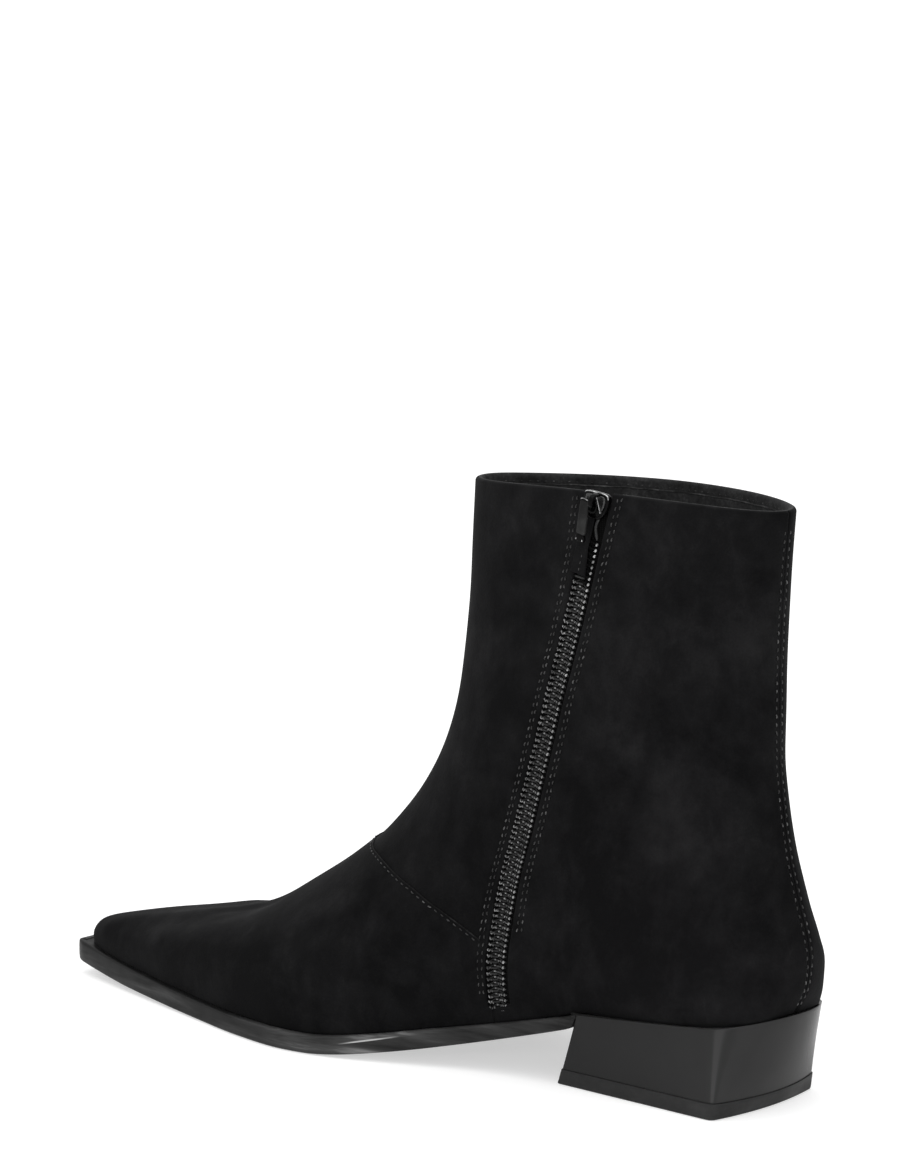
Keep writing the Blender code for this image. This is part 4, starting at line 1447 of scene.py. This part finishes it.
def pull_roll(half, along, dip, out, radius, blunt, sides):
    """Bar across the pull that dips at its ends, which are more or less blunt."""
    at = np.linspace(-1, 1, 13)
    return on_pull(tube(xyz(half * at, along - dip * at ** 2, out), radius * (1.05 - at ** blunt), sides))


def pull_plate(half, low, high, corner, times, rings):
    """Flat length of the pull, crowned a little, its corners cut a number of times."""
    return on_pull(plate(cut_corners(rectangle(half, low, high, corner), times), rings))


def pull_rivet(side):
    """Bright stud at a lower corner of the pull's end."""
    path = xyz(side * STUD_ASIDE + STUD_HALF * BEAD_AT, STUD_UP - PULL_LENGTH, STUD_OUT)
    return on_pull(tube(path, STUD_RADIUS * BEAD_ROUND, 8))


# The sole, heel and inside

LADDER_ACROSS = 5


def stations(back, front, count):
    """Positions along the boot, closer together towards the tip."""
    return back + (front - back) * np.sin(np.linspace(0, math.pi / 2, count))


def ladder(s, centre, half):
    """Closed outline, counter-clockwise: the lateral edge, the tip, the medial edge and the back."""
    q = np.linspace(0, 1, LADDER_ACROSS + 2)[1:-1, None]
    right, left = np.stack([s, centre - half], -1), np.stack([s, centre + half], -1)
    return np.concatenate([right, mix(right[-1], left[-1], q), left[::-1], mix(left[0], right[0], q)])


def ladder_solid(loops, count):
    """Solid through rings of a ladder's outline, with quads between its stations on both faces."""
    points, faces = loft(loops, cap=False)
    far = 2 * count + LADDER_ACROSS - 1
    cap = [[i, i + 1, far - i - 1, far - i] for i in range(count - 1)]
    cap.append(list(range(count - 1, count + LADDER_ACROSS + 1)))
    cap.append(list(range(far, far + LADDER_ACROSS + 1)) + [0])
    base = len(points) - len(loops[0])
    return points, faces + [face[::-1] for face in cap] + [[base + i for i in face] for face in cap]


def soft_edge(soft, count):
    """Inset and drop of a rounded edge, from the face to the wall."""
    arc = np.linspace(0, math.pi / 2, count)
    return [(soft * (1 - math.sin(a)), soft * (1 - math.cos(a))) for a in arc]


def outsole(soft=0.85, swell=0.08):
    """Sole with softened edges and a wall that swells a little between them."""
    s = stations(BREAST + GAP, TIP, 120)
    centre, half = plan(s)
    near_tip = np.clip(1 - (TIP - s) / TIP_ROUND, 0, 1)
    half = half - TIP_ROUND * TIP_SQUARE * (1 - np.sqrt(1 - near_tip ** 2))
    outline = ladder(s, centre, half)
    along = outline[:, 0]
    slant = (HEEL["front_s"][0] - HEEL["front_s"][1]) / HEEL_HEIGHT
    lean = slant * EDGE_AT_BREAST * np.clip(1 - (along - s[0]) / LEAN_FADE, 0, 1)
    fuller = TOE_FULLER * np.clip((along - TREAD_FRONT) / TOE_FULLER_REACH, 0, 1) ** 2
    top, bottom = sole_top(along), sole_bottom(along + lean) - fuller
    edge = soft_edge(soft, 6)
    rings = [(3.0, 0.0, 0.0), (1.6, 0.0, 0.0)]
    rings += [(distance, 0.0, drop) for distance, drop in edge]
    rings += [(-swell, share, 0.0) for share in (0.3, 0.5, 0.7)]
    rings += [(distance, 1.0, -drop) for distance, drop in edge[::-1]]
    rings += [(1.6, 1.0, 0.0), (3.0, 1.0, 0.0)]
    loops = []
    for distance, share, drop in rings:
        flat = inset(outline, distance)
        flat[:, 0] += lean * share
        loops.append(np.column_stack([flat, mix(top, bottom, share) - drop]))
    return ladder_solid(loops, len(s))


def rounded_corner(start, corner, end, count):
    """Points of a bend from start to end that is drawn towards a corner."""
    q = np.linspace(0, 1, count)[:-1, None]
    return (1 - q) ** 2 * start + 2 * q * (1 - q) * corner + q * q * end


def heel_outline(share, proud=0.0, soft=0.9):
    """Outline of the heel at a share of its height, counter-clockwise from the medial breast corner."""
    cut = {name: line(HEEL, name, share) for name in HEEL}
    corner = np.array([cut["corner_s"] - proud, cut["half_back"] + proud])
    breast = np.array([cut["front_s"] + proud, cut["half_front"] + proud])
    along = unit(breast - corner)
    arc_y = np.linspace(1 - cut["corner_round"] / corner[1], 0, 18)
    back = np.stack([mix(cut["back_s"] - proud, corner[0], arc_y ** 2), arc_y * corner[1]], -1)
    start, side_end = corner + along * cut["corner_round"], breast - along * soft
    half = np.concatenate([
        rounded_corner(breast - (0.0, soft), breast, side_end, 6),
        mix(side_end, start, np.linspace(0, 1, 14)[:-1, None]),
        rounded_corner(start, corner, back[0], 15),
        back,
    ])
    return np.concatenate([half, (half * (1, -1))[-2::-1]])


def block(shares, soft, steps, caps, height, proud=0.0):
    """Solid between two shares of the heel's height, with soft edges and flat caps below and above."""
    rings = [(0, caps[0], 0.0)]
    rings += [(0, distance, drop) for distance, drop in soft_edge(soft[0], 5)]
    rings += [(q, 0.0, 0.0) for q in steps]
    rings += [(1, distance, -drop) for distance, drop in soft_edge(soft[1], 5)[::-1]]
    rings += [(1, caps[1], 0.0)]
    loops = []
    for q, distance, drop in rings:
        flat = heel_outline(mix(*shares, q), proud - distance)
        loops.append(np.column_stack([flat, height(flat[:, 0], q) + drop]))
    return turned_loft(loops)


def heel():
    """Lacquered block that flares from the top-lift to the sloping seat."""
    foot = LIFT + 0.02
    return block((foot / HEEL_HEIGHT, 1), (0.14, 0.14), np.linspace(0.06, 0.95, 14), (1.6, 2.0),
                 lambda s, q: mix(foot, seat(s), q))


def toplift():
    """Wearing plate under the heel, with softened edges."""
    return block((0, LIFT / HEEL_HEIGHT), (0.4, 0.12), (0.25, 0.5, 0.75), (2.0, 2.0),
                 lambda s, q: np.full_like(s, LIFT * q), LIFT_PROUD)


def sock():
    """Insole and its sock, crowned a little, with a soft edge."""
    s = np.union1d(stations(INSOLE_BACK, INSOLE_TIP, 59), BREAST)
    centre, half = plan(s)
    back, front = FIRST_SLICE["back_s"], FIRST_SLICE["front_s"]
    half = (half - LEDGE) * ends((s - back - INSOLE_INSET) / (front - back), FIRST_SLICE) - INSOLE_INSET
    outline = ladder(s, centre, half)
    rings = ((2.0, INSOLE + 0.12), (0.9, INSOLE + 0.05), (0.4, INSOLE - 0.05), (0.1, INSOLE - 0.3),
             (0.0, INSOLE / 2), (0.0, 0.2), (0.4, 0.0), (2.0, 0.0))
    loops = [np.column_stack([inset(outline, d), bed(outline[:, 0]) + z]) for d, z in rings]
    return ladder_solid(loops, len(s))


def lining():
    """Lining inside the upper, from the sock to under the collar's band."""
    turn = np.linspace(0, 1, 130, endpoint=False)[None]
    level = np.concatenate([[0.004, 0.012, 0.022], np.linspace(0.035, 0.9, 70), [0.93, 0.955, 0.97, 0.98]])
    point, _, normal = skin_frame(*np.broadcast_arrays(turn, level[:, None]))
    faces = grid_faces(len(level), turn.shape[1], closed=True)
    return thicken(point - normal * LINING_BACK, point - normal * LINING_FACE, faces)


# The pieces

COVERED = coil_turns(GUARD_END)
ALL_TURNS = coil_turns(COIL_TOP_LEVEL)
BENDS = coil_bends(1, COIL_TOP_LEVEL, 0.38) + coil_bends(-1, GUARD_END, 0.22)
BARREL = pull_roll(PULL_WIDTH / 2, -0.4, 0.25, 0.1, 0.55, 8, 10)
GLINT = pull_roll(PULL_WIDTH / 2 - 0.1, -0.05, 0.3, 0.5, 0.17, 4, 7)
TAB = pull_plate(PULL_WIDTH / 2 - 0.06, TAB_END, TAB_TOP, 0.5, 2, TAB_RINGS)
HEAVY_END = pull_plate(PULL_WIDTH / 2, -PULL_LENGTH, TIP_TOP, 0.7, 1, TIP_RINGS)

for NAME, PART in (("quarter_back", quarter_back()), ("quarter_front", quarter_front()), ("vamp", vamp())):
    new_piece(NAME, [PART], SUEDE_FINISH, ["upper"])
new_piece("vamp_raw_edge", [vamp_raw_edge()], RAW_EDGE)
new_piece("lining", [lining()], LINING)
new_piece("sock", [sock()], SOCK, ["insole"])
for NAME, PARTS in (
    ("zip_stitches", zip_stitches()),
    ("back_stitches", back_stitches()),
    ("vamp_stitches", vamp_stitches()),
    ("collar_stitches", [collar_stitches()]),
):
    new_piece(NAME, PARTS, THREAD)
new_piece("collar_binding", [binding()], BINDING_FINISH)
new_piece("collar_binding_edge", [binding_edge()], FRAYED)
for NAME, PARTS, FINISH in (
    ("zip_coil_back", [coil_row(1, 0, COVERED)], COIL),
    ("zip_coil_front", [coil_row(-1, 0, COVERED + 2)], COIL),
    # The turns under the flap take the tape's near-black finish as painted shade
    ("zip_coil_upper_painted_shade", [coil_row(1, COVERED, ALL_TURNS)], TAPE),
    ("zip_coil_bends", BENDS, COIL_PAINTED_HIGHLIGHT),
    ("zip_coil_noses", coil_noses(), COIL_PAINTED_HIGHLIGHT),
    ("zip_coil_threads", coil_threads(), COIL_THREAD),
    ("zip_tape_edge", [tape_edge()], TAPE_EDGE),
    ("zip_tapes", tapes(), TAPE),
):
    new_piece(NAME, PARTS, FINISH, ["zip_chain"])
new_piece("zip_guard", [guard()], SUEDE_FINISH)
new_piece("zip_guard_stitches", [guard_stitches()], THREAD)
for NAME, PARTS, FINISH in (
    ("slider", slider(), ENAMEL),
    ("slider_wings", slider_wings(), WING_ENAMEL),
    ("slider_edges", slider_edges(), WORN_METAL),
):
    new_piece(NAME, PARTS, FINISH, ["zip_slider"])
for NAME, PARTS, FINISH in (
    ("pull_ring", [pull_ring(), BARREL], ENAMEL),
    ("pull_glint", [GLINT], WORN_METAL),
    ("pull_tab", [TAB], PULL_FINISH),
    ("pull_tip", [HEAVY_END], ENAMEL),
    ("pull_rivets", [pull_rivet(side) for side in (-1, 1)], WORN_METAL),
):
    new_piece(NAME, PARTS, FINISH, ["zip_pull"], "pull")
new_piece("sole", [outsole()], SOLE_EDGE, ["outsole"], sharp=60)
new_piece("heel_block", [heel()], LACQUER, ["heel"], sharp=60)
new_piece("heel_lift", [toplift()], LIFT_RUBBER, ["heel_toplift"], sharp=60)


# Floor, light and camera

FLOOR_RADIUS = 9.0
FLOOR_DROP = 0.0002
FLOOR_SIDES = 72
SURROUND = 1.04
CAMERA_TURN = math.radians(41.09)
CAMERA_RISE = math.radians(9.24)
CAMERA_DISTANCE = 1500.1
CAMERA_TARGET = np.array([140.0, 0.0, 0.0])
CAMERA_RIGHT = 6.89
CAMERA_UP = 140.85
FOCAL_PIXELS = 4710.1
PHOTO_HEIGHT = 1176
SENSOR = 36.0


def make_stage():
    """Round pale floor that fills every view."""
    radius = np.concatenate([[0.02], np.geomspace(0.2, FLOOR_RADIUS, 14)])[:, None]
    turns = np.linspace(0, 2 * math.pi, FLOOR_SIDES, endpoint=False)
    points = xyz(radius * np.cos(turns), radius * np.sin(turns), -FLOOR_DROP).reshape(-1, 3)
    faces = grid_faces(len(radius), FLOOR_SIDES, closed=True).tolist() + [list(range(FLOOR_SIDES))[::-1]]
    mesh = bpy.data.meshes.new("floor")
    mesh.from_pydata(points.tolist(), [], faces)
    mesh.materials.append(make_plain("floor", ((60.0, 2.0), [(0.3, 0.598), (0.7, 0.602)]), Roughness=0.8,
                                     Specular_IOR_Level=0.05, Emission_Color=(1.0, 1.0, 1.0, 1.0),
                                     Emission_Strength=0.52))
    add_object("floor", mesh)


def add_light(name, kind, power, place, aim=None, **settings):
    """A lamp that points down, or at its aim."""
    lamp = bpy.data.lights.new(name, kind)
    lamp.energy = power
    for key, value in settings.items():
        setattr(lamp, key, value)
    holder = add_object(name, lamp)
    holder.location = place
    if aim:
        holder.rotation_euler = (Vector(aim) - Vector(place)).to_track_quat("-Z", "Y").to_euler()


def make_light():
    """White studio: an even surround, a broad light overhead, a small one by the camera, one by the heel."""
    world = bpy.data.worlds.new("studio")
    world.use_nodes = True
    surround = world.node_tree.nodes["Background"]
    surround.inputs["Color"].default_value = (1.0, 1.0, 1.0, 1.0)
    surround.inputs["Strength"].default_value = SURROUND
    bpy.context.scene.world = world
    add_light("overhead", "AREA", 17.0, (-0.1, 0.5, 2.2), (0.0, 0.0, 0.05), shape="DISK", size=2.2)
    add_light("camera_side", "AREA", 4.5, (-1.2, 1.6, 0.8), (0.0, 0.0, 0.08), shape="DISK", size=0.26)
    add_light("heel_pool", "SPOT", 320.0, (-0.146, 0.070, 0.7), spot_size=math.radians(4.2), spot_blend=1.0,
              shadow_soft_size=0.05)


def make_camera():
    """Camera at the photograph's viewing angle."""
    level = math.cos(CAMERA_RISE)
    back = np.array([-math.sin(CAMERA_TURN) * level, math.cos(CAMERA_TURN) * level, math.sin(CAMERA_RISE)])
    right = np.array([-math.cos(CAMERA_TURN), -math.sin(CAMERA_TURN), 0.0])
    up = np.cross(back, right)
    place = CAMERA_TARGET + back * CAMERA_DISTANCE + right * CAMERA_RIGHT + up * CAMERA_UP
    lens = bpy.data.cameras.new("camera")
    lens.sensor_width = SENSOR
    lens.lens = FOCAL_PIXELS / PHOTO_HEIGHT * SENSOR
    lens.clip_start = 0.05
    lens.clip_end = 60.0
    camera = add_object("camera", lens)
    turn = Matrix((right, up, back)).transposed().to_4x4()
    camera.matrix_world = Matrix.Translation(Vector(to_row(place))) @ turn
    bpy.context.scene.camera = camera


make_stage()
make_light()
make_camera()
bpy.context.scene.view_settings.view_transform = "Standard"
